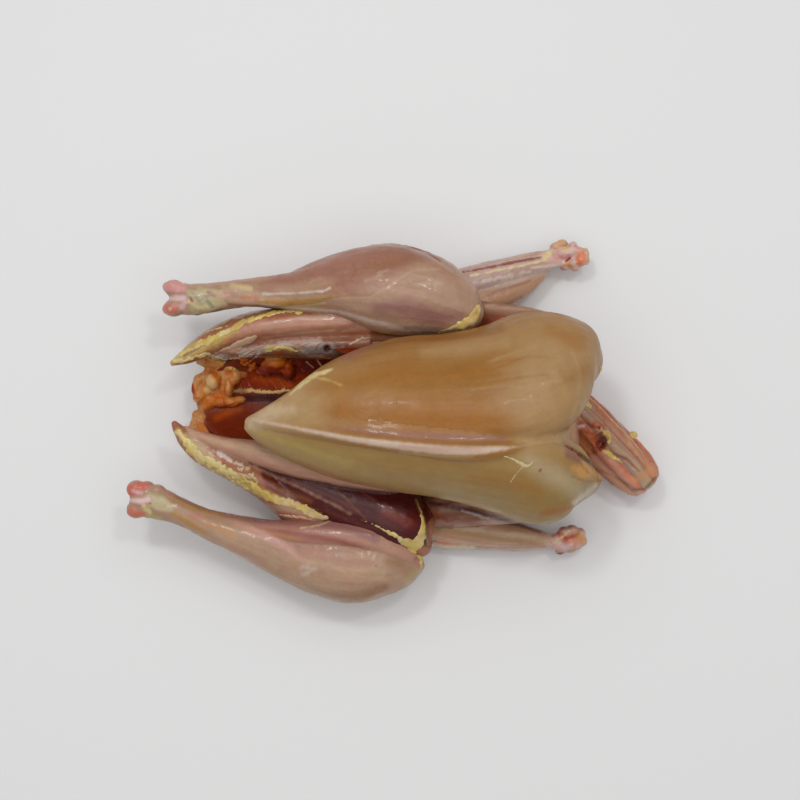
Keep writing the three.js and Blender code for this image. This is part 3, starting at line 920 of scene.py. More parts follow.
# Inside the cavity: the spine's ridge, the ribs across the floor and torn tissue on the wall
thread = dict(least=0.85, stray=0.1, gap=0.8, flat=0.8)
insideTrails = {
    "spine": dict(path=[(232, 391, 2), (246, 391, 2.2), (262, 392, 2), (278, 392, 2), (292, 390, 1.6)],
                  flat=0.9, gap=1.2, stray=0.4),
    "spineEdge": dict(path=[(238, 387, 2), (262, 388, 2), (286, 388, 2)], size=1.1, stray=1.0, gap=1.6,
                      tilt=1.0),
    "ribA": dict(path=[(244, 373, 0.7), (251, 388, 0.8)], **thread),
    "ribB": dict(path=[(251, 371, 0.7), (260, 387, 0.8)], **thread),
    "ribC": dict(path=[(257, 371, 0.7), (268, 387, 0.8)], **thread),
    "ribD": dict(path=[(265, 373, 0.7), (277, 389, 0.8)], **thread),
    "ribE": dict(path=[(273, 372, 0.7), (285, 388, 0.8)], **thread),
    "ribF": dict(path=[(282, 371, 0.7), (291, 384, 0.8)], **thread),
    "ribG": dict(path=[(295, 357, 0.8), (303, 371, 0.8)], **thread),
    "ribH": dict(path=[(302, 368, 0.7), (308, 378, 0.7)], **thread),
    "wallTissue": dict(path=[(240, 360, 5), (250, 363, 6), (256, 370, 4)], size=3.4, stray=0.9, gap=0.9,
                       flat=0.6, tilt=1.0),
    "rearTissue": dict(path=[(240, 378, 3), (243, 392, 3), (238, 404, 3)], size=2.2, stray=0.9, gap=1.4,
                       flat=0.5, tilt=1.2),
    "darkTissue": dict(path=[(294, 356, 4), (302, 366, 6), (298, 380, 5)], size=1.9, stray=1.0, gap=1.0,
                       flat=0.5, tilt=1.2),
    "boneA": dict(path=[(306, 362, 0.9), (314, 368, 1.5)], **thread),
    "boneB": dict(path=[(317, 360, 1.4), (325, 370, 1.8)], **thread),
    "boneC": dict(path=[(309, 375, 0.9), (316, 379, 0.8)], **thread),
}
insideLumps = [
    (277, 364, 20, (7, 4.8, 7)), (266, 368, 18, (4.4, 4, 6)), (289, 369, 18, (3.6, 5, 7)),
    (276, 359, 23, (5.4, 3, 5)),
]
insideLook = {
    "base": {"all": "cavityRed"},
    "wet": 0.4,
    "patches": [("cavityOrange", 3, 1, 0.5, 2.0), ("cavityMaroon", 2, 1, 0.4, 6.0)],
    "strokes": {
        **{name + "Light": mark("ribPink", trail["path"], 1.6, 0.8, wide=0.6, ragged=0.5)
           for name, trail in insideTrails.items() if name.startswith("rib")},
        "spineYellow": mark("boneCream", [(230, 391, 3), (262, 392, 3), (294, 390, 3)], 3, 0.85),
        "spineBrown": mark("wingBrown", [(230, 388, 2), (242, 392, 3)], 4, 0.6, ragged=1.5),
        "orangeBump": mark("tailOrange", [(264, 360, 4), (276, 360, 6), (287, 360, 4)], 7, 0.95, wet=0.5),
        "bumpTop": mark("fatOrange", [(268, 357, 2.4), (278, 357, 3)], 5, 0.9),
        "purpleSide": mark("cavityPurple", [(262, 371, 3), (274, 373, 3), (287, 377, 3)], 6, 0.9),
        "redSide": mark("cavityOrange", [(284, 356, 3), (288, 364, 3)], 4, 0.7),
        "darkDepth": mark("cavityRed", [(298, 352, 5), (304, 366, 8), (299, 384, 7)], 5, 0.7),
        "tornOrange": mark("tailOrange", [(238, 358, 4), (250, 366, 5)], 5, 0.75, ragged=1.5),
        # painted shade: a dark spot in a gap of the torn tissue
        "tornShade": mark("paintedShadeRed", [(258, 365, 2.4)], 4, 0.9),
        "rearBrown": mark("wingBrown", [(242, 376, 4), (244, 392, 3), (238, 406, 4)], 5, 0.7, ragged=1.5),
        "boneLightA": mark("boneCream", [(305, 361, 1.5), (314, 368, 1.8)], 1.6, 0.95),
        "boneLightB": mark("boneCream", [(317, 360, 2), (325, 370, 2.2)], 1.6, 0.95),
        "boneLightC": mark("fatPale", [(309, 375, 1.4), (316, 379, 1.4)], 1.6, 0.9),
            },
}


insideShape = {"voxel": 0.36, "smooths": 2, "uneven": (3, 0.2)}


def makeInside(trunk):
    parts = lumpsAtPixels(insideLumps)
    trees = searchTrees([trunk])
    for seed, trail in enumerate(insideTrails.values()):
        parts += trailLumps(trees, trail, seed)
    inside = grownTogether("cavityInside", parts, insideShape["voxel"], insideShape["smooths"])
    lumpy(inside, *insideShape["uneven"])
    return finishPiece(inside, {}, insideLook, cavityFlesh)


# Thighs: each runs from the hip to the knee and ends behind in the pointed ham blade
rightThighMuscles = {
    "thigh": [
        [-64, 35, 22, 2, 3], [-60, 36, 22, 7, 11], [-45, 41, 25, 12, 17], [-20, 45, 28, 14.5, 20],
        [5, 47, 32, 16, 19], [24, 47, 38, 13.5, 15], [35, 47, 43, 7, 8], [38, 47, 43, 2, 2.5]],
    "hamBlade": [
        [-95.5, 25, 33.5, 1, 1.4], [-88, 29, 32.5, 3.6, 4.6, 10], [-79, 34.5, 31, 5.6, 9, 12],
        [-68, 39, 30, 7.2, 12, 10], [-55, 41.5, 30, 8, 14.5, 5], [-38, 42, 31, 8, 15.5],
        [-12, 42, 33, 8, 15], [12, 42, 36, 7, 12]],
    "innerSheet": [
        [-78, 29, 26, 1.5, 3], [-68, 31.5, 28, 3.4, 7], [-50, 33, 30, 4.4, 10], [-30, 32.5, 32, 5, 12],
        [-8, 33, 34, 5, 12]],
}
rightThighLook = {
    "base": {"all": "thighRed", "innerSheet": "wingBrown"},
    "wet": 0.4,
    "patches": [("thighPink", 9, 5, 0.45, 4.0), ("thighLine", 3, 8, 0.3, 2.0), ("legPale", 3, 10, 0.25, 7.0)],
    "strokes": {
        "brownUpper": mark("legBrown", [(186, 344, 2), (206, 330, 4), (240, 316, 4), (280, 310, 2)], 6,
            0.7),
        "pinkLower": mark("thighPink", [(240, 330, 3), (262, 326, 5), (300, 323, 5), (345, 321, 4)], 8, 0.8,
            ragged=1.0),
        "pinkShine": mark("sheath", [(262, 324), (300, 318), (330, 318)], 2.5, 0.6, wide=0.8, wet=1.0),
        "lowerShine": mark("legPale", [(262, 338), (300, 333), (335, 330)], 2.5, 0.5, wide=0.8),
        "fatSheet": mark("fatYellow", [(172, 363, 3), (192, 350, 7), (214, 342, 6), (236, 330, 2)], 6, 0.6,
            ragged=2.2),
        "mauveStreak": mark("keelMauve", [(179, 359, 1), (190, 352, 1.6), (203, 345, 0.6)], 2, 0.85),
        "tipPink": mark("cartilagePink", [(170, 365, 2)], 4, 0.6),
        "greyMembrane": mark("sheath", [(214, 357, 3), (232, 354, 4), (262, 350, 4), (292, 344, 4),
            (318, 342, 4)], 4, 0.75, ragged=1.5, wet=0.9),
        "brownFolds": mark("wingBrown", [(220, 352, 1.6), (236, 357, 3), (252, 364, 2)], 3, 0.75, rise=-0.5,
            ragged=2.2),
        "pinkFolds": mark("thighPink", [(228, 364, 1), (240, 362, 1.4), (256, 352, 1)], 2.4, 0.7, rise=0.3,
            ragged=1.6, wet=0.8),
        "tanTatter": mark("wristTan", [(296, 348, 1), (310, 356, 1.6), (330, 358, 1)], 2.4, 0.7, rise=0.3,
            ragged=1.8),
        "rosyBand": mark("legRose", [(262, 340, 1.6), (300, 336, 2.4), (340, 334, 2)], 4, 0.6, ragged=1.2),
        "greyShade": mark("sheathGrey", [(222, 362, 2), (246, 360, 2), (262, 358, 1)], 3, 0.7, ragged=1.0),
        "yellowBits": mark("fatYellow", [(266, 348, 1.6), (280, 348, 2), (292, 350, 1.4)], 2, 0.75,
            ragged=1.5),
        "orangeBits": mark("cavityOrange", [(272, 351, 1.4), (282, 353, 1.4)], 2, 0.8, ragged=1.0),
        "membraneFront": mark("sheathGrey", [(305, 352, 5), (318, 350, 6), (340, 346, 5)], 5, 0.75,
            ragged=1.5),
        "brownFront": mark("wingBrown", [(338, 344, 4), (350, 338, 3)], 4, 0.8, ragged=1.0),
        "blueSpot": mark("cavityPurple", [(346, 346, 1.6)], 2.5, 0.7),
        # painted shade inside the hole, which is also carved in
        "hole": mark("paintedShadeRed", [(327, 349, 3.4)], 2.6, 0.98, rise=-1.8),
        # painted shadow on the thigh under the drumstick
        "shadowUnderLeg": mark("paintedShadeRed", [(372, 333), (430, 337), (480, 334)], 5, 0.7, wide=2),
    },
}
leftThighMuscles = {
    "thigh": [
        [-67, -10, 20, 2.5, 3], [-62, -12, 20, 8, 10], [-45, -22, 23, 13, 15], [-25, -31, 25, 16, 17.5],
        [-5, -39, 26, 17.5, 17.5], [7, -46, 26, 14, 15], [14, -52, 26, 7, 8], [17, -53, 26, 2, 2.5]],
    "hamBlade": [
        [-94.4, 0.6, 30.5, 1, 1.4], [-91, -4, 30, 3, 4], [-86.8, -8.2, 29.5, 4.8, 6],
        [-80.6, -12.6, 28.5, 5.6, 8], [-72.6, -16.8, 27.5, 6, 10], [-62, -21.6, 26.5, 6.6, 12],
        [-51, -28, 25.5, 7.8, 13], [-39, -36, 25, 9.4, 13], [-20, -41, 25, 10, 13]],
    "flank": [
        [-89, -2, 30, 1, 2], [-84, -5.4, 31, 2.2, 4], [-73, -9.6, 31.5, 3.6, 9], [-62, -12.6, 32.5, 5, 12],
        [-48, -16, 34.5, 6.4, 14], [-30, -19.4, 37, 7.4, 15], [-5, -23, 38, 8, 13], [6, -23.6, 38, 6, 9],
        [14, -24, 38, 2, 3]],
}
leftThighLook = {
    "base": {"all": "thighRed", "flank": "thighPink", "thigh": "thighMaroon"},
    "wet": 0.25,
    "patches": [("thighLine", 3, 9, 0.3, 4.0), ("legPale", 3, 10, 0.12, 7.0)],
    "strokes": {
        "hamBrown": mark("thighRed", [(184, 452, 2), (206, 472, 4), (236, 490, 4), (262, 508, 3)], 4, 0.8),
        "fatFilm": mark("fatYellow", [(178, 431, 2), (194, 451, 5), (216, 467, 5), (240, 480, 5),
            (262, 494, 3.6), (292, 503, 3), (320, 516, 2)], 6, 0.8, ragged=2.4),
        "hamPale": mark("legPale", [(190, 434, 3), (200, 448, 7), (216, 460, 5)], 6, 0.8, ragged=1.5),
        "maroonInside": mark("thighMaroon", [(258, 466), (300, 478), (340, 486), (425, 496), (430, 548),
            (380, 526), (330, 512), (286, 500), (266, 488)], 5, 0.92, closed=True),
        "maroonGlow": mark("thighRed", [(264, 482, 3), (284, 492, 3), (310, 501, 2)], 9, 0.5),
        "kneeRed": mark("legRed", [(385, 512, 4), (410, 524, 5)], 14, 0.6),
        "lineA": mark("thighPink", [(258, 469), (300, 488), (336, 506), (350, 514)], 4.5, 0.5, wide=0.8,
            rise=0.15, ragged=1.2, wet=0.8),
        "lineB": mark("thighLine", [(335, 488), (350, 503), (366, 520)], 3.5, 0.6, wide=0.6, rise=0.1,
            ragged=0.8),
        "lineC": mark("thighLine", [(292, 480), (330, 496), (360, 512)], 2.4, 0.5, wide=0.6),
        "lineD": mark("thighLine", [(362, 492), (385, 508), (412, 520)], 2.4, 0.5, wide=0.6),
        "pinkFlank": mark("thighPink", [(198, 434, 3), (225, 444, 6), (260, 454, 10), (300, 470, 7),
            (325, 478, 2)], 4, 0.95),
        "flankPale": mark("legPale", [(200, 437, 1), (232, 444, 5), (262, 450, 6), (290, 460, 3)], 7, 0.7,
            ragged=1.0, wet=0.6),
        "flankShade": mark("legBrown", [(262, 452), (290, 462), (318, 474)], 8, 0.35, wide=1),
        "flankSeam": mark("thighMaroon", [(250, 463), (272, 472), (300, 480), (330, 484)], 2.4, 0.75,
            wide=0.8, rise=-0.5, ragged=0.8),
        "flankRim": mark("thighRed", [(216, 455), (232, 466), (252, 474)], 4, 0.8, wide=2.5, ragged=2.0),
        "silverA": mark("sheathWhiteAndHighlight", [(219, 453), (230, 460)], 2, 0.75, wide=2, rise=0.3, ragged=2.2,
            wet=1.0),
        "silverB": mark("sheathWhiteAndHighlight", [(236, 462), (247, 468)], 2, 0.7, wide=1.6, rise=0.3, ragged=2.2,
            wet=1.0),
        "brownWedge": mark("legTan", [(272, 520, 2), (262, 506, 3), (292, 510, 3), (322, 520, 1)], 4, 0.85),
        "rimBehindKnee": mark("fatOlive", [(416, 500), (424, 520), (428, 545)], 2.5, 0.6, wide=0.8),
    },
}


thighShape = {"voxel": 0.62, "smooths": 5, "uneven": [(12, 0.35), (3, 0.12)]}


# Drumsticks, from the knee back to the cut hock with its two cartilage knobs
rightDrumstickMuscles = {
    "calf": [
        [-96, 52.4, 36, 2.4, 3], [-93, 52.4, 36, 5.6, 5], [-86, 53, 36, 6.8, 6.6],
        [-77, 53.8, 36.5, 6.4, 6.4], [-64, 55.5, 37.5, 6, 6.4], [-48, 55.5, 40, 7.6, 8],
        [-35, 55.5, 42, 10.6, 11], [-22, 57, 44, 14, 14], [-9, 56.5, 45, 18.5, 16.5],
        [3, 55.2, 45.5, 19.4, 17.5], [16, 52.4, 46, 17.4, 16.5], [26, 48.2, 46, 13.6, 13.5],
        [33.5, 45, 45.5, 9.6, 10], [38, 44, 45, 3, 4]],
    "upperCalf": [
        [-48, 59, 39, 3, 4], [-36, 60.5, 41, 6.5, 8], [-22, 63, 43, 8.6, 11], [-8, 64.8, 45, 9.8, 13],
        [4, 65, 46, 9, 13], [15, 61.5, 46, 8, 12], [25, 56, 46, 5, 8]],
    "shinTendon": [
        [-70, 51.4, 41, 1.4, 1.6], [-60, 51.2, 43, 2.2, 2.2], [-46, 50.8, 45.6, 2.6, 2.6],
        [-34, 51.4, 49, 1.6, 2]],
}
rightDrumstickKnobs = [
    (174, 288, 37.5, (4.6, 3.9, 4.6)), (174, 308, 37, (4.8, 4, 4.8)), (184, 290, 37, (3.6, 3.4, 4.6)),
    (183, 306, 36, (3.6, 3.6, 4.6)), (167, 287, 37, (2.2, 2.4, 3)), (167, 309, 36.5, (2.2, 2.6, 3)),
    (193, 292, 38.5, (2.4, 2, 2.6)), (203, 300, 39.5, (3, 2.2, 2.4)), (210, 308, 37.5, (3.4, 2, 3)),
    (197, 311, 36, (3.2, 2, 3.2)), (219, 305, 39, (2.4, 1.6, 2)),
]
rightDrumstickLook = {
    "base": {"all": "legTan"},
    "creaseShade": 0.12,
    "patches": [("legPink", 12, 4, 0.35, 6.0), ("legPale", 7, 6, 0.25, 2.0), ("legBrown", 5, 6, 0.25, 9.0)],
    "strokes": {
        "roseTop": mark("legRose", [(262, 284), (285, 268), (330, 254), (370, 244), (408, 240), (440, 254),
            (408, 266), (385, 278), (350, 290), (300, 291)], 14, 0.8, closed=True),
        "tanUnderRose": mark("legBrown", [(345, 280, 3), (380, 266, 5), (410, 258, 4)], 12, 0.55),
        "rosyBand": mark("legPink", [(262, 277, 2), (300, 268, 3), (345, 256, 3), (380, 246, 1)], 7, 0.5),
        "calfPale": mark("legTan", [(350, 312, 8), (400, 290, 12), (450, 290, 12)], 24, 0.6),
        "calfGleam": mark("legPale", [(425, 284, 3), (440, 282, 3)], 12, 0.55),
        "mauvePatch": mark("legMauve", [(378, 308, 5), (405, 308, 9), (440, 318, 8), (462, 314, 3)], 16,
            0.72),
        "greyLower": mark("sheathGrey", [(400, 328, 2), (430, 330, 3)], 8, 0.45),
        "darkSliver": mark("legRed", [(374, 242, 0.6), (402, 243, 1.8), (425, 251, 1.8), (440, 261, 0.6)],
            2.5, 0.75, rise=-0.3),
        "sliverLine": mark("sheath", [(374, 245), (404, 247.5), (430, 257), (452, 272)], 2, 0.6, wide=0.6,
            rise=0.15),
        "orangeMid": mark("fatOrange", [(345, 296, 2), (330, 290, 3)], 12, 0.25),
        "curveLine": mark("legPale", [(335, 298), (370, 297), (391, 284), (412, 271), (440, 269)], 3.5, 0.6,
            wide=0.7, rise=-0.25),
        "redVein": mark("legRed", [(352, 262), (356, 270), (351, 278)], 1.6, 0.4, wide=0.4),
        "tendon": mark("tendonYellow", [(256, 300, 1.4), (285, 303, 3), (312, 301, 2.6), (332, 296, 1)], 3,
            0.85, rise=0.2),
        "tendonLower": mark("fatOlive", [(268, 306), (300, 306), (325, 303)], 2, 0.7, wide=0.7),
        "shine": mark("sheathWhiteAndHighlight", [(262, 294), (295, 293.5), (322, 291)], 2, 0.85, wide=0.9, rise=0.12,
            ragged=0.8, wet=1.0),
        "shineEnd": mark("sheathWhiteAndHighlight", [(322, 292), (330, 288)], 2, 0.85, wide=1.2, rise=0.1, ragged=1.0,
            wet=1.0),
        "topGleam": mark("legPale", [(366, 281), (378, 276), (387, 270)], 6, 0.55, wide=1, ragged=1.2,
            wet=1.0),
        "topGleam2": mark("legPale", [(308, 284), (320, 278)], 5, 0.5, wide=0.8, ragged=1.0, wet=1.0),
        "whiteSheath": mark("sheathWhiteAndHighlight", [(262, 304.5, 0.6), (300, 308.5, 1), (340, 312, 1.6),
            (372, 322, 2.4), (402, 328, 1.6)], 3.5, 0.6, ragged=0.8, wet=0.6),
        "yellowUnder": mark("fatOlive", [(372, 330), (390, 333)], 2, 0.8, wide=1.2, ragged=0.8),
        "shinPale": mark("legPale", [(222, 286, 2), (240, 290, 4), (262, 297, 4)], 6, 0.7),
        "calfFoot": mark("legPale", [(282, 290, 4), (305, 288, 6), (330, 282, 4)], 12, 0.45),
        "knobInner": mark("cartilagePink", [(176, 309, 2.4), (181, 307, 2)], 3, 0.8),
        "shinYellow": mark("fatPale", [(232, 285, 2), (250, 288, 2.5)], 4, 0.5),
        "kneeTan": mark("legTan", [(462, 296, 6), (474, 308, 5)], 10, 0.7),
        "oliveRemnant": mark("skinOlive", [(186, 290), (200, 286), (222, 291), (227, 305), (205, 315),
            (190, 314)], 5, 0.85, ragged=2.6, closed=True),
        "oliveSpots": mark("skinGrey", [(192, 293, 1), (200, 301, 2), (210, 294, 1.4)], 3, 0.55,
            ragged=2.4),
        "oliveYellow": mark("fatPale", [(190, 302, 2), (199, 308, 2.4), (214, 304, 2)], 4, 0.6, ragged=2.4,
            wet=0.6),
        "oliveTop": mark("legTan", [(190, 285, 2), (215, 284, 2)], 4, 0.6),
        "greyInside": mark("skinGrey", [(206, 300, 1.4), (212, 306, 1.8)], 3, 0.6, ragged=1.2),
        "greyEdge": mark("skinGrey", [(187, 316, 0.8), (205, 315, 1.3), (222, 309, 1)], 1.6, 0.95,
            ragged=0.8),
        "mauveFlecks": mark("keelMauve", [(207, 292, 1.6), (214, 296, 1.4)], 2, 0.75, ragged=1.5, wet=0.6),
        "pinkSmear": mark("cartilagePink", [(218, 296), (229, 295)], 2.6, 0.8, wide=1.6),
        "redSpot": mark("cartilageRed", [(243, 298.5), (256, 298)], 5, 0.65, wide=1.6, ragged=1.6),
        "smallRed": mark("legRed", [(337, 285)], 1.6, 0.7, wide=0.9),
        "hockPale": mark("legPale", [(186, 284, 2), (205, 283, 2), (222, 300, 3)], 6, 0.5, ragged=1.5),
        "upperKnob": mark("cartilagePink", [(168, 286, 6), (182, 287, 5)], 3, 0.92, wet=0.5),
        "lowerKnob": mark("cartilageRed", [(167, 310, 6), (174, 309, 4)], 4, 0.8, wet=0.5),
        "knobPink": mark("cartilagePale", [(182, 306, 3), (186, 302, 2)], 4, 0.7, ragged=1.0),
        "knobGroove": mark("cartilagePale", [(166, 299, 1.6), (176, 298, 3), (184, 298, 3)], 3, 0.92,
            rise=-0.8),
        "knobGleam": mark("sheathWhiteAndHighlight", [(170, 309, 1.6)], 2.4, 0.6, wet=1.0),
        "bloodAtGroove": mark("bloodRed", [(190, 297, 0.9), (192, 301, 1.2)], 1.5, 0.85, ragged=0.6),
        "kneeSpot": mark("bloodRed", [(479, 305)], 1.6, 0.9, wide=1.1),
    },
}
leftDrumstickMuscles = {
    "calf": [
        [-112, -33, 30.5, 2.6, 3], [-108.5, -33.2, 30.3, 6, 5.4], [-101, -34.4, 29.5, 7, 6.8],
        [-89, -38.9, 28.5, 5.8, 6.2], [-77, -44.2, 27.5, 6.6, 7], [-63, -48.6, 26, 8.8, 9.6],
        [-48, -53.6, 24.5, 12.2, 13], [-34, -57, 23.5, 15.8, 16.6], [-19, -59, 23, 18.2, 18.6],
        [-6, -60.3, 23.5, 15.4, 17], [5, -60.8, 24.2, 9.8, 12], [13, -58.4, 25, 3.2, 5]],
    "frontMuscle": [
        [-66, -45, 28, 3, 4], [-52, -46.6, 29.5, 5, 6.5], [-38, -48, 31, 6.4, 9], [-23, -48.6, 33, 7, 9],
        [-10, -50, 33, 7.4, 9], [0, -54, 31, 6.6, 8], [8, -57.6, 28, 4, 6]],
}
leftDrumstickKnobs = [
    (136, 489, 31.5, (4.4, 4, 4.4)), (136, 511, 30.5, (4.4, 3.4, 4.4)), (147, 489, 31, (3.6, 3.6, 4.6)),
    (148, 511, 30, (3.8, 3.2, 4.4)), (131, 490, 31, (2, 2.4, 3)), (131, 508, 30.5, (2, 2.2, 3)),
    (160, 511, 29.5, (3.6, 2.8, 4)), (172, 515, 30, (4, 2.2, 4)), (157, 490, 31, (3.6, 2.4, 4)),
]
leftDrumstickLook = {
    "base": {"all": "legTan", "frontMuscle": "legPink"},
    "creaseShade": 0.12,
    "patches": [("legPink", 12, 4, 0.35, 11.0), ("legPale", 7, 6, 0.25, 5.0), ("legBrown", 5, 6, 0.2, 9.0)],
    "strokes": {
        "mauveTop": mark("legMauve", [(222, 516, 1), (270, 521, 3), (310, 523, 4), (345, 526, 5),
            (375, 538, 5)], 7, 0.7),
        "redUnderMauve": mark("legRed", [(262, 529, 1), (300, 534, 2.4), (335, 540, 3), (368, 550, 1.4)], 6,
            0.55),
        "orangeBand": mark("fatOrange", [(232, 526, 1), (270, 532, 1.8), (300, 540, 1.4)], 4, 0.4),
        "pinkBand": mark("cartilagePink", [(236, 524, 1.6), (262, 534, 4), (290, 550, 4), (302, 560, 1)], 6,
            0.55),
        "whiteFibres": mark("sheath", [(252, 528), (275, 540), (296, 556)], 3, 0.6, wide=0.7, rise=0.1,
            ragged=0.8, wet=0.6),
        "calfPale": mark("legPale", [(290, 575, 4), (330, 580, 9), (375, 570, 8)], 20, 0.45),
        "lowerPink": mark("cartilagePink", [(206, 540, 2), (240, 560, 3), (275, 580, 3)], 9, 0.4),
        "upperCream": mark("legPale", [(215, 533, 2), (250, 552, 4), (275, 566, 4)], 10, 0.55),
        "roseCalf": mark("legPink", [(300, 548, 4), (340, 560, 5), (370, 562, 4)], 12, 0.6),
        "gleamA": mark("sheathWhiteAndHighlight", [(302, 567, 2), (314, 569, 2.4), (304, 575, 1)], 6, 0.4, ragged=2.0,
            wet=1.0),
        "gleamB": mark("legPale", [(308, 561), (330, 564), (344, 572)], 6, 0.6, wide=0.8, ragged=1.2,
            wet=1.0),
        "gleamC": mark("legPale", [(370, 581, 1.5), (382, 576, 1.8), (388, 567, 1)], 7, 0.6, ragged=1.2,
            wet=1.0),
        "redDotA": mark("legRed", [(376, 566)], 1.5, 0.7, wide=0.9),
        "kneeOrange": mark("legBrown", [(388, 560, 4), (404, 566, 4)], 10, 0.5),
        "bottomBrown": mark("legBrown", [(300, 590, 2), (330, 597, 4), (360, 598, 5), (385, 588, 4)], 9,
            0.75),
        "bottomRim": mark("fatOlive", [(285, 590), (320, 602), (350, 605)], 2.5, 0.5, wide=0.8),
        "kneeYellow": mark("fatOlive", [(404, 583, 2), (418, 570, 3)], 5, 0.5),
        "wispA": mark("fatPale", [(300, 528), (320, 525), (335, 519)], 2, 0.6, wide=0.6, rise=0.1,
            ragged=0.8),
        "tendon": mark("tendonYellow", [(172, 512, 2), (188, 522, 3), (205, 532, 1.6)], 4, 0.75, rise=0.2),
        "tendonTop": mark("tendonYellow", [(165, 497, 1), (190, 508, 2), (222, 516, 1.4)], 4, 0.6),
        "shinBrown": mark("legBrown", [(176, 497, 1), (200, 508, 2), (225, 514, 1.5)], 4, 0.6),
        "redSpot": mark("cartilageRed", [(187, 513.5, 1), (201, 518, 1.2)], 5, 0.7, ragged=1.8),
        "orangeShin": mark("fatOrange", [(205, 522, 2), (232, 534, 3)], 8, 0.5),
        "pinkShin": mark("legPink", [(232, 546, 3), (262, 562, 4)], 8, 0.5),
        "oliveSheath": mark("skinOlive", [(150, 498, 5), (160, 503, 8), (170, 508, 4)], 5, 0.85,
            ragged=1.2),
        "oliveLow": mark("fatOlive", [(148, 515, 2), (160, 518, 2)], 3, 0.7),
        "whiteTatter": mark("sheathWhiteAndHighlight", [(168, 507), (176, 505)], 2, 0.6, wide=0.8, rise=0.15,
            ragged=1.5, wet=1.0),
        "holeMark": mark("legRed", [(150, 503.5)], 1.5, 0.9, wide=0.9, rise=-0.4),
        "upperKnob": mark("cartilageRed", [(132, 490, 6), (144, 485, 5)], 3, 0.9, wet=0.5),
        "upperGleam": mark("cartilagePale", [(133, 491, 2), (141, 493, 2)], 3, 0.55, wet=0.8),
        "lowerKnob": mark("cartilageRed", [(131, 512, 4.4), (142, 515, 3.4)], 4, 0.8, wet=0.5),
        "knobYellow": mark("fatPale", [(144, 507, 2.6), (150, 512, 2)], 4, 0.7, ragged=1.4),
        "knobGroove": mark("cartilagePale", [(131, 500, 2), (142, 501, 3), (149, 499, 2.4)], 2.6, 0.95,
            rise=-0.7, wet=0.7),
        "kneeSpot": mark("bloodRed", [(423, 554)], 1.8, 0.95, wide=1.5),
    },
}


drumstickShape = {"voxel": 0.55, "smooths": 6, "uneven": [(14, 0.35), (3.5, 0.1)]}


# Wings: the upper arm lies on the ribs and the forearm reaches forward to the cut wrist
rightWingMuscles = {
    "upperArm": [
        [20, 53, 19, 2, 2.5], [25, 51, 20, 6.5, 7.5], [34, 46.5, 24, 8.6, 10.5], [48, 41.5, 28, 10.8, 13.5],
        [62, 36.5, 32, 12.4, 15], [72, 32, 36, 11.5, 13], [79, 28, 38.5, 8, 9], [83, 26, 39.5, 3, 3.5]],
    "lowerForearm": [
        [17, 52, 17, 2, 2.5], [22, 52.5, 17, 6, 7], [34, 54.5, 16, 8, 9], [46, 58.5, 14.5, 7.6, 8.6],
        [58, 65, 12.5, 6, 7], [67, 71, 11, 3.4, 4.4], [71, 73, 10.5, 1.5, 2]],
    "upperForearm": [
        [17, 58, 17, 2, 2.5], [22, 60, 18, 5.6, 7], [36, 63.6, 18, 6.4, 8], [50, 68.4, 16, 5.8, 7.6],
        [62, 72.2, 14, 4.6, 6.4], [70, 74.6, 12.5, 3.8, 5], [75, 75, 12, 2, 3]],
    "rim": [
        [20, 65.5, 16, 1.6, 3], [32, 68.6, 16, 2.6, 5], [48, 72.8, 14.6, 2.6, 5],
        [62, 76.6, 12.6, 2.2, 4.6], [70, 78.4, 12, 1.6, 3]],
}
rightWingLumps = [
    (549, 256, 13, (3.2, 3, 4)), (556, 247, 13, (3, 2.2, 3.6)), (562, 243.5, 13.5, (2.6, 2, 3.4)),
    (573, 246, 12.5, (2, 2, 3.4)), (562, 255, 13, (3.6, 3, 4.4)), (570, 253, 13, (3.2, 2.8, 4.4)),
    (579, 252, 12.5, (2.8, 2.4, 4)), (586, 254, 12, (1.6, 2.4, 3.6)), (586.5, 260, 12, (1.5, 2.4, 3.6)),
    (580.5, 260.5, 13.5, (2.8, 3, 4.4)), (573, 264, 12.5, (3, 2.4, 4)), (564, 264, 12, (2.8, 2, 3.6)),
    (565, 268.5, 11, (2.2, 1.2, 2.6)), (575, 269, 11.5, (1.8, 1.2, 2.6)), (586, 249.5, 12, (0.9, 0.9, 2)),
    (565, 242, 13, (0.9, 0.9, 1.6)),
]
rightWingBits = [
    dict(path=[(555, 244, 3), (565, 243, 2)], **{**tornBits, "size": 1.3}),
    dict(path=[(560, 257, 4), (572, 249, 4), (584, 255, 3), (574, 266, 3)], **{**tornBits, "size": 1.4}),
    dict(path=[(472, 273, 1.2), (500, 267, 1.4), (528, 262, 1.4)], size=0.9, stray=1.0, gap=2.2, tilt=1.2),
]
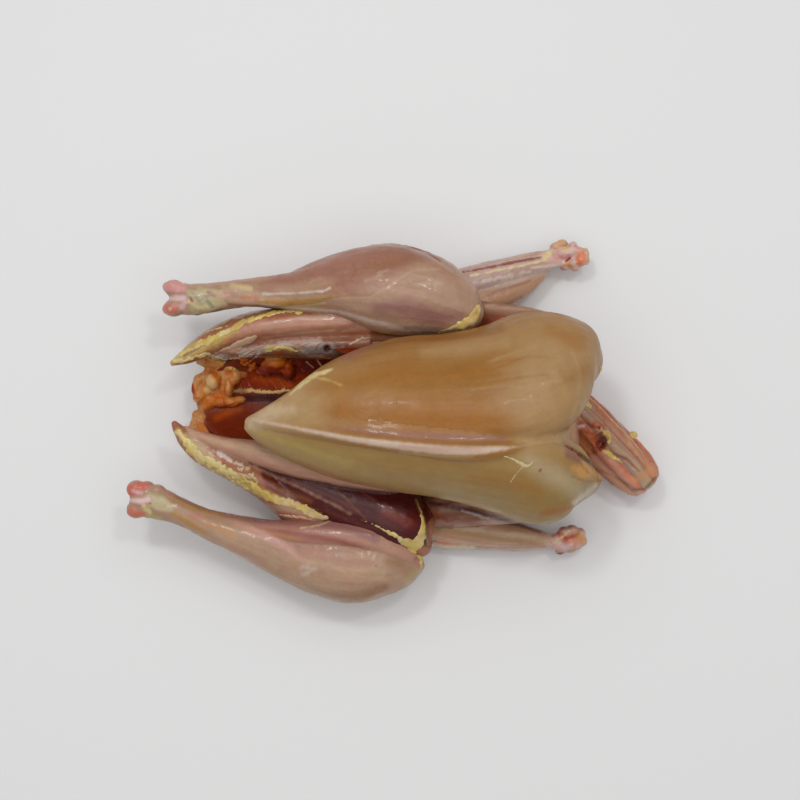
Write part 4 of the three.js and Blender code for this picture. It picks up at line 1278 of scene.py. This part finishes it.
rightWingLook = {
    "base": {"all": "wingPink", "upperArm": "wingBrown", "lowerForearm": "wingTan", "rim": "wingPink"},
    "wet": 0.5,
    "patches": [("wingTan", 6, 6, 0.35, 3.0), ("legPale", 3, 10, 0.3, 5.0), ("wingBrown", 3, 9, 0.25, 8.0)],
    "strokes": {
        "wristBase": mark("wristPink", [(546, 256, 7), (562, 255, 14), (582, 258, 15)], 6, 0.9),
        "groove": mark("neckRed", [(462, 272.5, 0.8), (495, 266, 1.4), (525, 260, 1.4), (543, 257, 0.8)],
            1.8, 0.8, rise=-1.0, ragged=0.8),
        "cutEdge": mark("fatPale", [(470, 276, 0.6), (500, 269.5, 0.9), (530, 264, 1), (546, 260, 1.2)],
            1.6, 0.85, rise=0.35, ragged=1.4),
        "gleamB": mark("sheath", [(482, 289, 2.4), (515, 281, 3.6), (546, 272, 2.4)], 5, 0.6, wet=1.0),
        "gleamA": mark("sheathWhiteAndHighlight", [(474, 284, 1), (492, 279, 1.8), (512, 276, 1.6), (530, 271, 1)], 3,
            0.75, ragged=2.6, wet=1.0),
        "tendon": mark("sheathWhiteAndHighlight", [(532, 268, 1.2), (548, 266.5, 1.6), (562, 264.5, 1)], 2.4, 0.75,
            rise=0.2, wet=0.8),
        "mauveBetween": mark("keelMauve", [(478, 300, 1), (500, 290, 1.6), (530, 281, 1)], 3, 0.7),
        "lowerOrange": mark("wingTan", [(486, 306, 1.4), (512, 299, 2), (540, 284, 1)], 4, 0.75),
        "lowerRed": mark("legBrown", [(488, 312, 1), (506, 305, 1.6), (522, 297, 1)], 4, 0.6),
        "wristYellow": mark("fatPale", [(545, 257, 3.4), (550, 252, 3)], 3, 0.8, ragged=1.0),
        "wristTan": mark("wristTan", [(555, 244, 3), (564, 242.5, 4.4)], 3, 0.9, ragged=0.8),
        "wristCream": mark("fatPale", [(564, 250, 2.4), (572, 249, 2)], 3, 0.6, ragged=1.0),
        "wristLilac": mark("cartilagePale", [(572, 244, 1.6), (574, 250, 2), (565, 254, 1)], 2.4, 0.85,
            wet=0.8),
        "wristRose": mark("cartilagePink", [(557, 258, 1.8), (566, 256, 2.6)], 2.6, 0.9),
        "wristPeach": mark("wristTan", [(578, 244, 1.6), (587, 252, 2.4), (587, 261, 2.4)], 3, 0.75),
        "wristOrange": mark("wristOrange", [(581, 256, 4.6), (581, 262, 5)], 3, 0.95, ragged=0.8, wet=0.8),
        "wristAmber": mark("flapMustard", [(567, 263, 2.4), (571, 267, 2)], 3, 0.7),
        "wristBottom": mark("cartilageRed", [(560, 268, 1), (568, 272, 1.6), (576, 272, 1.2)], 2.4, 0.8),
        "wristPale": mark("cartilagePale", [(572, 254, 2), (574, 258, 1.2)], 2.4, 0.8, wet=0.7),
        "wristRed": mark("bloodRed", [(566, 261, 0.9), (570, 258, 1)], 1.4, 0.95),
        "wristSpots": mark("cartilagePink", [(573, 245, 1), (580, 249, 1.2)], 1.6, 0.9),
        "armRed": mark("neckRed", [(478, 322, 2), (500, 318, 4), (520, 322, 2)], 7, 0.55),
        "armPale": mark("wingTan", [(486, 308, 2), (520, 308, 3), (548, 309, 2)], 5, 0.6),
        # painted shadow on the upper arm below the knee
        "armShadow": mark("paintedShadeRed", [(455, 333, 2), (475, 334, 3), (492, 332, 1)], 3, 0.85),
        "armOrangeBit": mark("fatOrange", [(502, 318), (500, 324)], 1.8, 0.8, wide=0.8, rise=0.2),
    },
}
leftWingMuscles = {
    "upperArm": [
        [3, -39, 15, 2, 2.5], [7, -38.6, 16, 6, 7.5], [18, -36.6, 19, 8.4, 10.5], [38, -33.4, 24, 10.8, 13],
        [56, -30.6, 30, 12.4, 15], [66, -28, 34, 11.6, 13.4], [73, -25.4, 36.5, 8, 9],
        [77, -24.4, 37.5, 3, 3.5]],
    "forearm": [
        [-1, -39.6, 13, 2, 2.5], [2, -40, 13, 5, 6], [12, -41, 12.6, 7.6, 9], [25, -43.2, 11.6, 8.2, 10],
        [40, -45.4, 10.6, 7.4, 9.4], [54, -47.6, 9.4, 5.8, 8], [66, -49.4, 8.5, 3.8, 6],
        [72, -49.8, 8.5, 2, 3]],
    "lowerRim": [
        [8, -49, 8, 1.4, 3], [22, -51, 8, 2, 4.4], [42, -52.4, 7.6, 1.8, 4.4], [60, -53, 7.4, 1.6, 4],
        [69, -52.6, 7.6, 1.2, 2.6]],
}
leftWingLumps = [
    (557, 538, 10, (2.8, 2.4, 4)), (550, 541, 9, (2.6, 2.2, 3.4)), (564, 532, 10.5, (3, 2.6, 4)),
    (572, 530, 10.5, (2.8, 2.4, 4)),
    (580, 534, 10.5, (2.6, 2.8, 4)), (583, 541, 10, (2, 2.4, 3.6)), (577, 545, 9.5, (2.6, 2.4, 3.6)),
    (569, 541, 11, (3, 2.8, 4.4)), (562, 546, 9, (3.2, 2.2, 3.6)), (560, 552, 8, (2.4, 1.4, 3)),
    (570, 550, 8.5, (2.6, 1.4, 3)), (556, 545, 9, (2, 2.4, 3)), (577, 538, 11.5, (2.4, 2.2, 3.4)),
    (424, 543, 8, (1.8, 1.6, 2.4)), (439, 542, 8, (1.7, 1.7, 2.6)), (445, 547, 7, (1.5, 1.3, 2)),
    (454, 544, 7.6, (1.8, 1.6, 2.6)), (463, 547, 7, (1.6, 1.4, 2.2)), (472, 548, 7, (1.8, 1.1, 2)),
]
leftWingBits = [
    dict(path=[(558, 540, 4), (570, 534, 4), (582, 538, 3), (572, 546, 4)], **{**tornBits, "size": 1.4}),
    dict(path=[(424, 542, 2), (450, 545, 2.4), (476, 549, 1.6)], size=1.3, stray=1.0, gap=2.4, tilt=1.0),
]
leftWingLook = {
    "base": {"all": "wingTan", "upperArm": "wingBrown", "lowerRim": "wingPink"},
    "wet": 0.45,
    "patches": [("wingPink", 6, 6, 0.4, 3.0), ("legPale", 3, 9, 0.25, 6.0), ("wingBrown", 3, 9, 0.25, 1.0)],
    "strokes": {
        "wristBase": mark("wristPink", [(552, 540, 8), (576, 538, 11)], 6, 0.8),
        # painted shade in the gap between the breast and the forearm
        "gapShade": mark("paintedShadeRed", [(430, 503, 2), (470, 510, 2.6), (510, 522, 2), (540, 532, 1)], 4,
            0.75),
        "redTop": mark("neckRed", [(424, 512, 2), (450, 520, 2.4), (480, 524, 1)], 5, 0.55),
        "oliveMid": mark("breastOlive", [(430, 528, 2), (480, 535, 4), (530, 541, 3)], 7, 0.5),
        # pale cream of the forearm, brightened further as a painted highlight
        "paleCreamAndHighlight": mark("legPale", [(455, 527, 1), (500, 534, 3), (548, 540, 3)], 6, 0.75, wet=0.8),
        "blueGlints": mark("sheathGrey", [(462, 511, 0.8), (474, 514, 1.2), (488, 518, 0.8)], 1.8, 0.9,
            rise=0.2, ragged=1.0, wet=1.0),
        "edgeLine": mark("sheath", [(430, 543, 0.6), (480, 548.5, 0.8), (545, 549, 0.8)], 2, 0.5),
        "beadsRed": mark("wristOrange", [(439, 542, 2.4), (454, 544, 2.2)], 2.4, 0.6, ragged=1.6, wet=0.6),
        "beadsYellow": mark("fatPale", [(424, 543, 2.2), (446, 547, 1.6), (463, 547, 1.8), (474, 548, 1.6)],
            3, 0.6, ragged=1.6),
        "wristOrange": mark("wristOrange", [(561, 535, 4), (572, 541, 6), (580, 538, 5)], 4, 0.6,
            ragged=2.0, wet=0.7),
        "wristTan": mark("wristTan", [(578, 532, 2.6), (584, 542, 2.6)], 3, 0.75, ragged=1.5),
        "wristPale": mark("cartilagePale", [(556, 541, 2), (566, 549, 2.6), (572, 544, 1.4)], 3, 0.7,
            ragged=1.2, wet=0.6),
        "wristRed": mark("cartilageRed", [(558, 533, 2), (566, 539, 2.4), (574, 536, 1.4)], 3, 0.9,
            ragged=1.2),
        "wristAmber": mark("flapMustard", [(576, 533, 2), (582, 540, 1.6)], 3, 0.6, ragged=1.2),
        "wristYellow": mark("fatPale", [(554, 543, 1.2), (570, 531, 0.9)], 2, 0.7),
    },
}


wingShape = {
    "voxel": 0.5, "smooths": 4, "bitVoxel": 0.42, "bitSmooths": 1, "uneven": [(9, 0.25), (2.6, 0.16)]}


# Neck: bundles of strands laid round the spine
neckPlan = {
    "core": [
        [58, 18, 20, 9, 10], [72, 10.4, 22, 9.6, 11.5], [83.4, 0.8, 21.5, 9.8, 11.5],
        [90.6, -6, 20, 9.6, 11.2], [98.2, -12.8, 17.4, 9.6, 10.8], [105.6, -19.4, 15, 8.8, 10],
        [109.8, -23.8, 13.4, 6.4, 8], [111.8, -25.8, 13, 3.4, 4]],
    "strands": 10,
    "strandSize": 3.1,
    "twist": 30,  # degrees over the neck's length
    "outer": 0.86,  # share of the core's size at which the strands lie
}
neckLook = {
    "base": {"all": "neckPink", "strand1": "neckTan", "strand2": "legPale", "strand4": "neckTan",
             "strand7": "thighRed", "strand8": "neckTan"},
    "creaseWidth": 0.25,
    "creaseShade": 0.28,
    "wet": 0.55,
    "patches": [("neckRed", 4, 7, 0.3, 8.0), ("sheath", 3, 9, 0.35, 1.0), ("thighRed", 6, 5, 0.4, 5.0)],
    "strokes": {
        "throat": mark("throatBrown", [(566, 436), (580, 430), (594, 434), (597, 452), (584, 458),
            (568, 448)], 5, 0.85, rise=-1.5, closed=True),
        "redThroat": mark("cavityOrange", [(588, 432, 3), (597, 440, 5)], 8, 0.6),
        "hole": mark("neckRed", [(596, 437), (601, 433), (606, 440), (605, 448), (599, 452), (595, 446)], 4,
            0.95, rise=-3.2, closed=True),
        "amberAbove": mark("cavityOrange", [(594, 423, 2), (603, 426, 2.6)], 4, 0.75, ragged=1.4),
        # painted shade deep in the neck's hole, which is also carved in
        "holeShade": mark("paintedShadeRed", [(602, 438, 1.4), (604, 446, 1.4)], 3.5, 0.75, rise=-0.8),
        "redStreak": mark("neckRed", [(574, 423, 1.5), (586, 424, 2), (597, 427, 1.5)], 4, 0.7, ragged=1.5),
        "lilacStreak": mark("cartilagePale", [(570, 428, 1), (584, 426, 1.2)], 2.5, 0.6, ragged=1.5,
            wet=0.9),
        "smallHole": mark("bloodRed", [(599, 428, 1.4)], 1.8, 0.95, rise=-0.9),
        "strandDarkA": mark("neckRed", [(606, 404), (628, 432), (650, 462)], 2.4, 0.6, wide=0.7,
            rise=-0.35),
        "strandDarkB": mark("neckRed", [(610, 452, 0.6), (626, 459, 1.8), (640, 472, 0.8)], 2.6, 0.75,
            rise=-0.4),
        "strandDarkC": mark("wingBrown", [(596, 468), (616, 478), (634, 488)], 3, 0.6, wide=0.8, rise=-0.3),
        "strandPaleA": mark("legPale", [(614, 416), (630, 442), (644, 464)], 2.4, 0.6, wide=0.7, rise=0.2,
            ragged=0.6, wet=0.8),
        "strandPaleB": mark("legPale", [(616, 446), (630, 457), (640, 466)], 2.4, 0.6, wide=0.8, rise=0.2,
            ragged=0.6, wet=0.9),
        "topPink": mark("legRose", [(592, 390, 1.4), (608, 408, 1.8), (628, 432, 1)], 3, 0.6),
        "bead": mark("fatYellow", [(634, 434.5, 4)], 2, 0.95),
        "endTan": mark("neckTan", [(636, 480, 4), (652, 470, 4)], 6, 0.7),
        "endDark": mark("thighMaroon", [(633, 490), (645, 489), (655, 478)], 3, 0.6, wide=1.4),
    },
}


neckBead = [(633.5, 435, 17, (2, 1.8, 2)), (630, 438.5, 16, (2, 1.8, 2))]


def neckStrands():
    # stations of each strand, set round the core and slowly twisting
    rows = stationRows(neckPlan["core"], 1)
    strands = {}
    for k in range(neckPlan["strands"]):
        stations = []
        for i, row in enumerate(rows):
            angle = math.radians(360 * k / neckPlan["strands"] + neckPlan["twist"] * i / len(rows))
            turn = ringTurn(rows, i)
            side = turn @ Vector((row[3] * math.cos(angle), row[4] * math.sin(angle), 0))
            middle = Vector(row[:3]) + side * neckPlan["outer"]
            size = neckPlan["strandSize"] * (0.5 if i == len(rows) - 1 else 1.0)
            stations.append([*middle, size, size * 0.9, 0])
        strands["strand" + str(k)] = stations
    return strands


neckShape = {"sides": 16, "voxel": 0.5, "smooths": 2, "uneven": [(5, 0.3), (2, 0.2)]}
neckMuscles = {"core": neckPlan["core"], **neckStrands()}


# Fat and loose flaps, laid in small lumps on the meat that carries them
fatTrails = {
    "rightHam": dict(on=("rightThigh",), flat=0.5, size=2.8, stray=0.8, gap=0.7, least=0.5, tilt=0.3, path=[
        (173, 362, 1.6), (184, 352, 3.6), (196, 346, 4), (208, 341, 4), (218, 336, 3.4), (230, 330, 3),
        (244, 322, 2.8), (258, 317, 2.6), (272, 313, 2), (288, 311, 2), (302, 313, 1.2)]),
    "rightHamEdge": dict(on=("rightThigh",), flat=0.4, path=[
        (190, 342, 1), (204, 333, 2), (216, 329, 2), (230, 325, 1.4)]),
    "rightHamLower": dict(on=("rightThigh", "tailTissue"), flat=0.45, path=[
        (178, 364, 1.6), (192, 358, 2.8), (206, 355, 3), (216, 356, 2.2), (228, 364, 2), (240, 372, 1.4)]),
    "cavityTop": dict(on=("rightThigh", "trunk"), flat=0.45, stray=0.6, path=[
        (256, 354, 1), (268, 351, 2), (283, 347, 2.6), (296, 351, 2), (304, 355, 1)]),
    "leftHam": dict(on=("leftThigh",), flat=0.5, size=3.4, stray=0.75, gap=0.7, least=0.5, tilt=0.3, path=[
        (177, 431, 1.4), (184, 440, 3.6), (192, 450, 5), (202, 459, 5.4), (214, 466, 5.2), (228, 474, 5.4),
        (242, 481, 6), (252, 489, 6), (262, 495, 4.4), (275, 499, 3.6), (289, 502, 3.4), (301, 507, 3.4),
        (312, 514, 3), (326, 519, 1.6)]),
    "leftHamTop": dict(on=("leftThigh",), flat=0.5, stray=0.9, size=2.2, path=[
        (236, 466, 3), (250, 472, 4), (258, 482, 3)]),
    "leftKnee": dict(on=("leftDrumstick", "leftThigh"), flat=0.5, path=[
        (350, 518, 0.8), (368, 522, 1.4), (384, 530, 2), (396, 536, 3.4), (406, 543, 5), (416, 547, 6),
        (421, 538, 5), (423, 526, 3.6), (421, 511, 1.8), (417, 499, 1.2)]),
    "leftKneeFront": dict(on=("leftDrumstick",), flat=0.5, path=[
        (410, 548, 4), (419, 555, 4), (422, 566, 2), (417, 577, 1.4), (404, 585, 1.2)]),
    "rightKnee": dict(on=("rightDrumstick",), flat=0.45, path=[
        (440, 332, 2), (452, 329, 3.8), (464, 325, 5.2), (473, 320, 6), (478, 311, 4.4), (480, 304, 2)]),
    "neckRim": dict(on=("neck",), flat=0.6, path=[
        (600, 430, 2), (606, 433, 3), (610, 438, 2.6), (608, 446, 1.6)]),
    "neckRimLow": dict(on=("neck",), flat=0.6, path=[
        (602, 451, 2), (608, 453, 3.2), (615, 458, 3), (623, 464, 1.6)]),
    "neckTop": dict(on=("neck",), flat=0.6, path=[
        (581, 400, 2.4), (587, 404, 3.6), (592, 409, 2)]),
    "breastBead": dict(on=("breast",), flat=0.6, stray=0.2, path=[
        (600.5, 365, 2), (601, 369, 2.4), (599.5, 373, 2)]),
    "breastWisp": dict(on=("breast",), flat=0.8, gap=0.7, stray=0.3, path=[
        (504, 456, 1.4), (513, 459, 1.8), (522, 464, 2.4), (528, 467, 2.2), (534, 461, 1.3)]),
    "breastWispTail": dict(on=("breast",), flat=0.8, gap=0.7, stray=0.2, path=[
        (524, 466, 1.4), (516, 474, 1.3), (510, 483, 1.2)]),
    "upperWisp": dict(on=("breast",), flat=0.35, path=[
        (291, 393, 0.8), (302, 384, 1.4), (312, 376, 2), (322, 373, 1.6), (331, 371, 0.8)]),
}
fatLook = {
    "base": {"all": "fatYellow"},
    "wet": 0.45,
    "patches": [("fatPale", 4, 1, 0.8, 2.0), ("fatOlive", 6, 1, 0.4, 5.0), ("legPale", 5, 1, 0.5, 7.0),
                ("fatOrange", 7, 1, 0.25, 9.0)],
    "strokes": {
        "kneeSpotLeft": mark("bloodRed", [(423, 554)], 1.8, 0.95, wide=1.5),
        "kneeOlive": mark("fatOlive", [(440, 331, 2), (456, 330, 2)], 4, 0.6),
        # pale fat of the right knee, brightened further as a painted highlight
        "kneeFatHighlight": mark("fatPale", [(464, 327, 3), (474, 320, 3)], 5, 0.7),
        "hamPaleRight": mark("fatPale", [(176, 361, 3), (200, 350, 6), (214, 350, 5)], 6, 0.5),
        "hamMauve": mark("keelMauve", [(179, 358, 0.6), (190, 352, 1.2), (204, 346, 0.5)], 2, 0.8),
        "hamPaleLeft": mark("fatPale", [(184, 436, 3), (200, 452, 6), (232, 474, 5)], 6, 0.6),
        "peachRim": mark("fatOrange", [(601, 431, 3), (610, 437, 3)], 3, 0.6),
        "cavityTopOrange": mark("cavityOrange", [(280, 350, 2)], 3, 0.8, ragged=1.0),
        "wispPale": mark("breastCream", [(505, 457, 4), (524, 466, 5), (510, 480, 4)], 3, 0.6),
    },
}
flapTrails = {
    "rightHamFlap": dict(on=("rightThigh",), flat=0.4, stray=0.2, least=0.8, path=[
        (216, 353, 2), (226, 350, 5), (238, 346, 6.4), (248, 341, 5.6), (257, 336, 2.4)]),
    "greyMembrane": dict(on=("rightThigh", "tailTissue"), flat=0.3, stray=0.5, least=0.8, path=[
        (222, 360, 2), (234, 359, 3), (250, 355, 3), (262, 352, 1.6)]),
    "foldA": dict(on=("rightThigh",), flat=0.9, stray=0.25, path=[
        (226, 362, 1), (240, 357, 1.8), (254, 349, 1.8), (266, 344, 1)]),
    "foldB": dict(on=("rightThigh",), flat=0.9, stray=0.25, path=[
        (240, 366, 1.2), (252, 360, 2), (262, 352, 1.6)]),
    "foldC": dict(on=("rightThigh",), flat=0.9, stray=0.3, path=[
        (266, 346, 1), (284, 341, 1.6), (302, 345, 2), (314, 341, 1.2)]),
    "holeRim": dict(on=("rightThigh",), flat=0.5, stray=0.3, path=[
        (318, 356, 1.4), (316, 347, 1.6), (324, 341, 1.6), (334, 342, 1.4), (342, 347, 1)]),
    "kneeFlap": dict(on=("rightThigh", "rightDrumstick"), flat=0.4, stray=0.3, path=[
        (418, 334, 1.6), (436, 334, 2), (452, 335, 2.2), (466, 332, 1.6)]),
    "upperMembrane": dict(on=("breast", "rightThigh"), flat=0.35, stray=0.3, path=[
        (344, 354, 1.4), (350, 344, 2.4), (362, 338, 2.6), (378, 337, 1.6)]),
    "leftHamPink": dict(on=("leftThigh",), flat=0.5, stray=0.3, path=[
        (226, 470, 1.4), (240, 474, 2.6), (252, 478, 2.4), (262, 484, 1.4)]),
    "leftHamLower": dict(on=("leftThigh",), flat=0.5, stray=0.3, path=[
        (270, 514, 1.4), (288, 516, 3), (304, 518, 2.4), (320, 522, 1.2)]),
}
flapLook = {
    "base": {"all": "thighPink"},
    "wet": 0.5,
    "patches": [("legPale", 5, 2, 0.5, 2.0), ("legRose", 4, 2, 0.4, 5.0)],
    "strokes": {
        "hamFlapPale": mark("legPale", [(224, 348, 3), (244, 343, 5), (256, 337, 3)], 4, 0.8),
        "hamFlapMauve": mark("keelMauve", [(222, 346), (234, 341), (246, 336)], 2.5, 0.7, wide=0.8),
        "membraneGrey": mark("sheath", [(222, 360, 4), (244, 358, 5), (264, 352, 4)], 3, 0.85, wet=1.0),
        "holeBrown": mark("wingBrown", [(316, 352, 5), (322, 342, 4), (342, 346, 4)], 3, 0.7),
        "kneeFlapBrown": mark("thighRed", [(425, 336, 4), (465, 335, 4)], 4, 0.9),
        "membraneRose": mark("legRose", [(345, 352, 4), (378, 337, 4)], 4, 0.6),
    },
}


trailShape = {"voxel": 0.42, "smooths": 3, "uneven": (2.2, 0.22)}


def makeTrails(name, trails, pieces, look, material):
    parts = []
    for seed, trail in enumerate(trails.values()):
        carriers = searchTrees([pieces[carrier] for carrier in trail["on"]])
        parts += trailLumps(carriers, trail, seed)
    trailed = grownTogether(name, parts, trailShape["voxel"], trailShape["smooths"])
    lumpy(trailed, *trailShape["uneven"])
    smoothed(trailed, 1)
    return finishPiece(trailed, {}, look, material)


trunk = makeTrunk()
pieces = {
    "breast": makeMeat("breast", breastMuscles, breastLook, breastShape, breastFlesh),
    "trunk": trunk,
    "tailTissue": makeMeat("tailTissue", {}, tailLook, tailShape, cavityFlesh, tailLumps, tailBits),
    "cavityInside": makeInside(trunk),
    "rightThigh": makeMeat("rightThigh", rightThighMuscles, rightThighLook, thighShape, legFlesh),
    "leftThigh": makeMeat("leftThigh", leftThighMuscles, leftThighLook, thighShape, legFlesh),
    "rightDrumstick": makeMeat(
        "rightDrumstick", rightDrumstickMuscles, rightDrumstickLook, drumstickShape, legFlesh,
        rightDrumstickKnobs),
    "leftDrumstick": makeMeat(
        "leftDrumstick", leftDrumstickMuscles, leftDrumstickLook, drumstickShape, legFlesh,
        leftDrumstickKnobs),
    "rightWing": makeMeat(
        "rightWing", rightWingMuscles, rightWingLook, wingShape, legFlesh, rightWingLumps, rightWingBits),
    "leftWing": makeMeat(
        "leftWing", leftWingMuscles, leftWingLook, wingShape, legFlesh, leftWingLumps, leftWingBits),
    "neck": makeMeat("neck", neckMuscles, neckLook, neckShape, legFlesh, neckBead),
}
makeTrails("fat", fatTrails, pieces, fatLook, softFat)
makeTrails("flaps", flapTrails, pieces, flapLook, legFlesh)
makeStage()
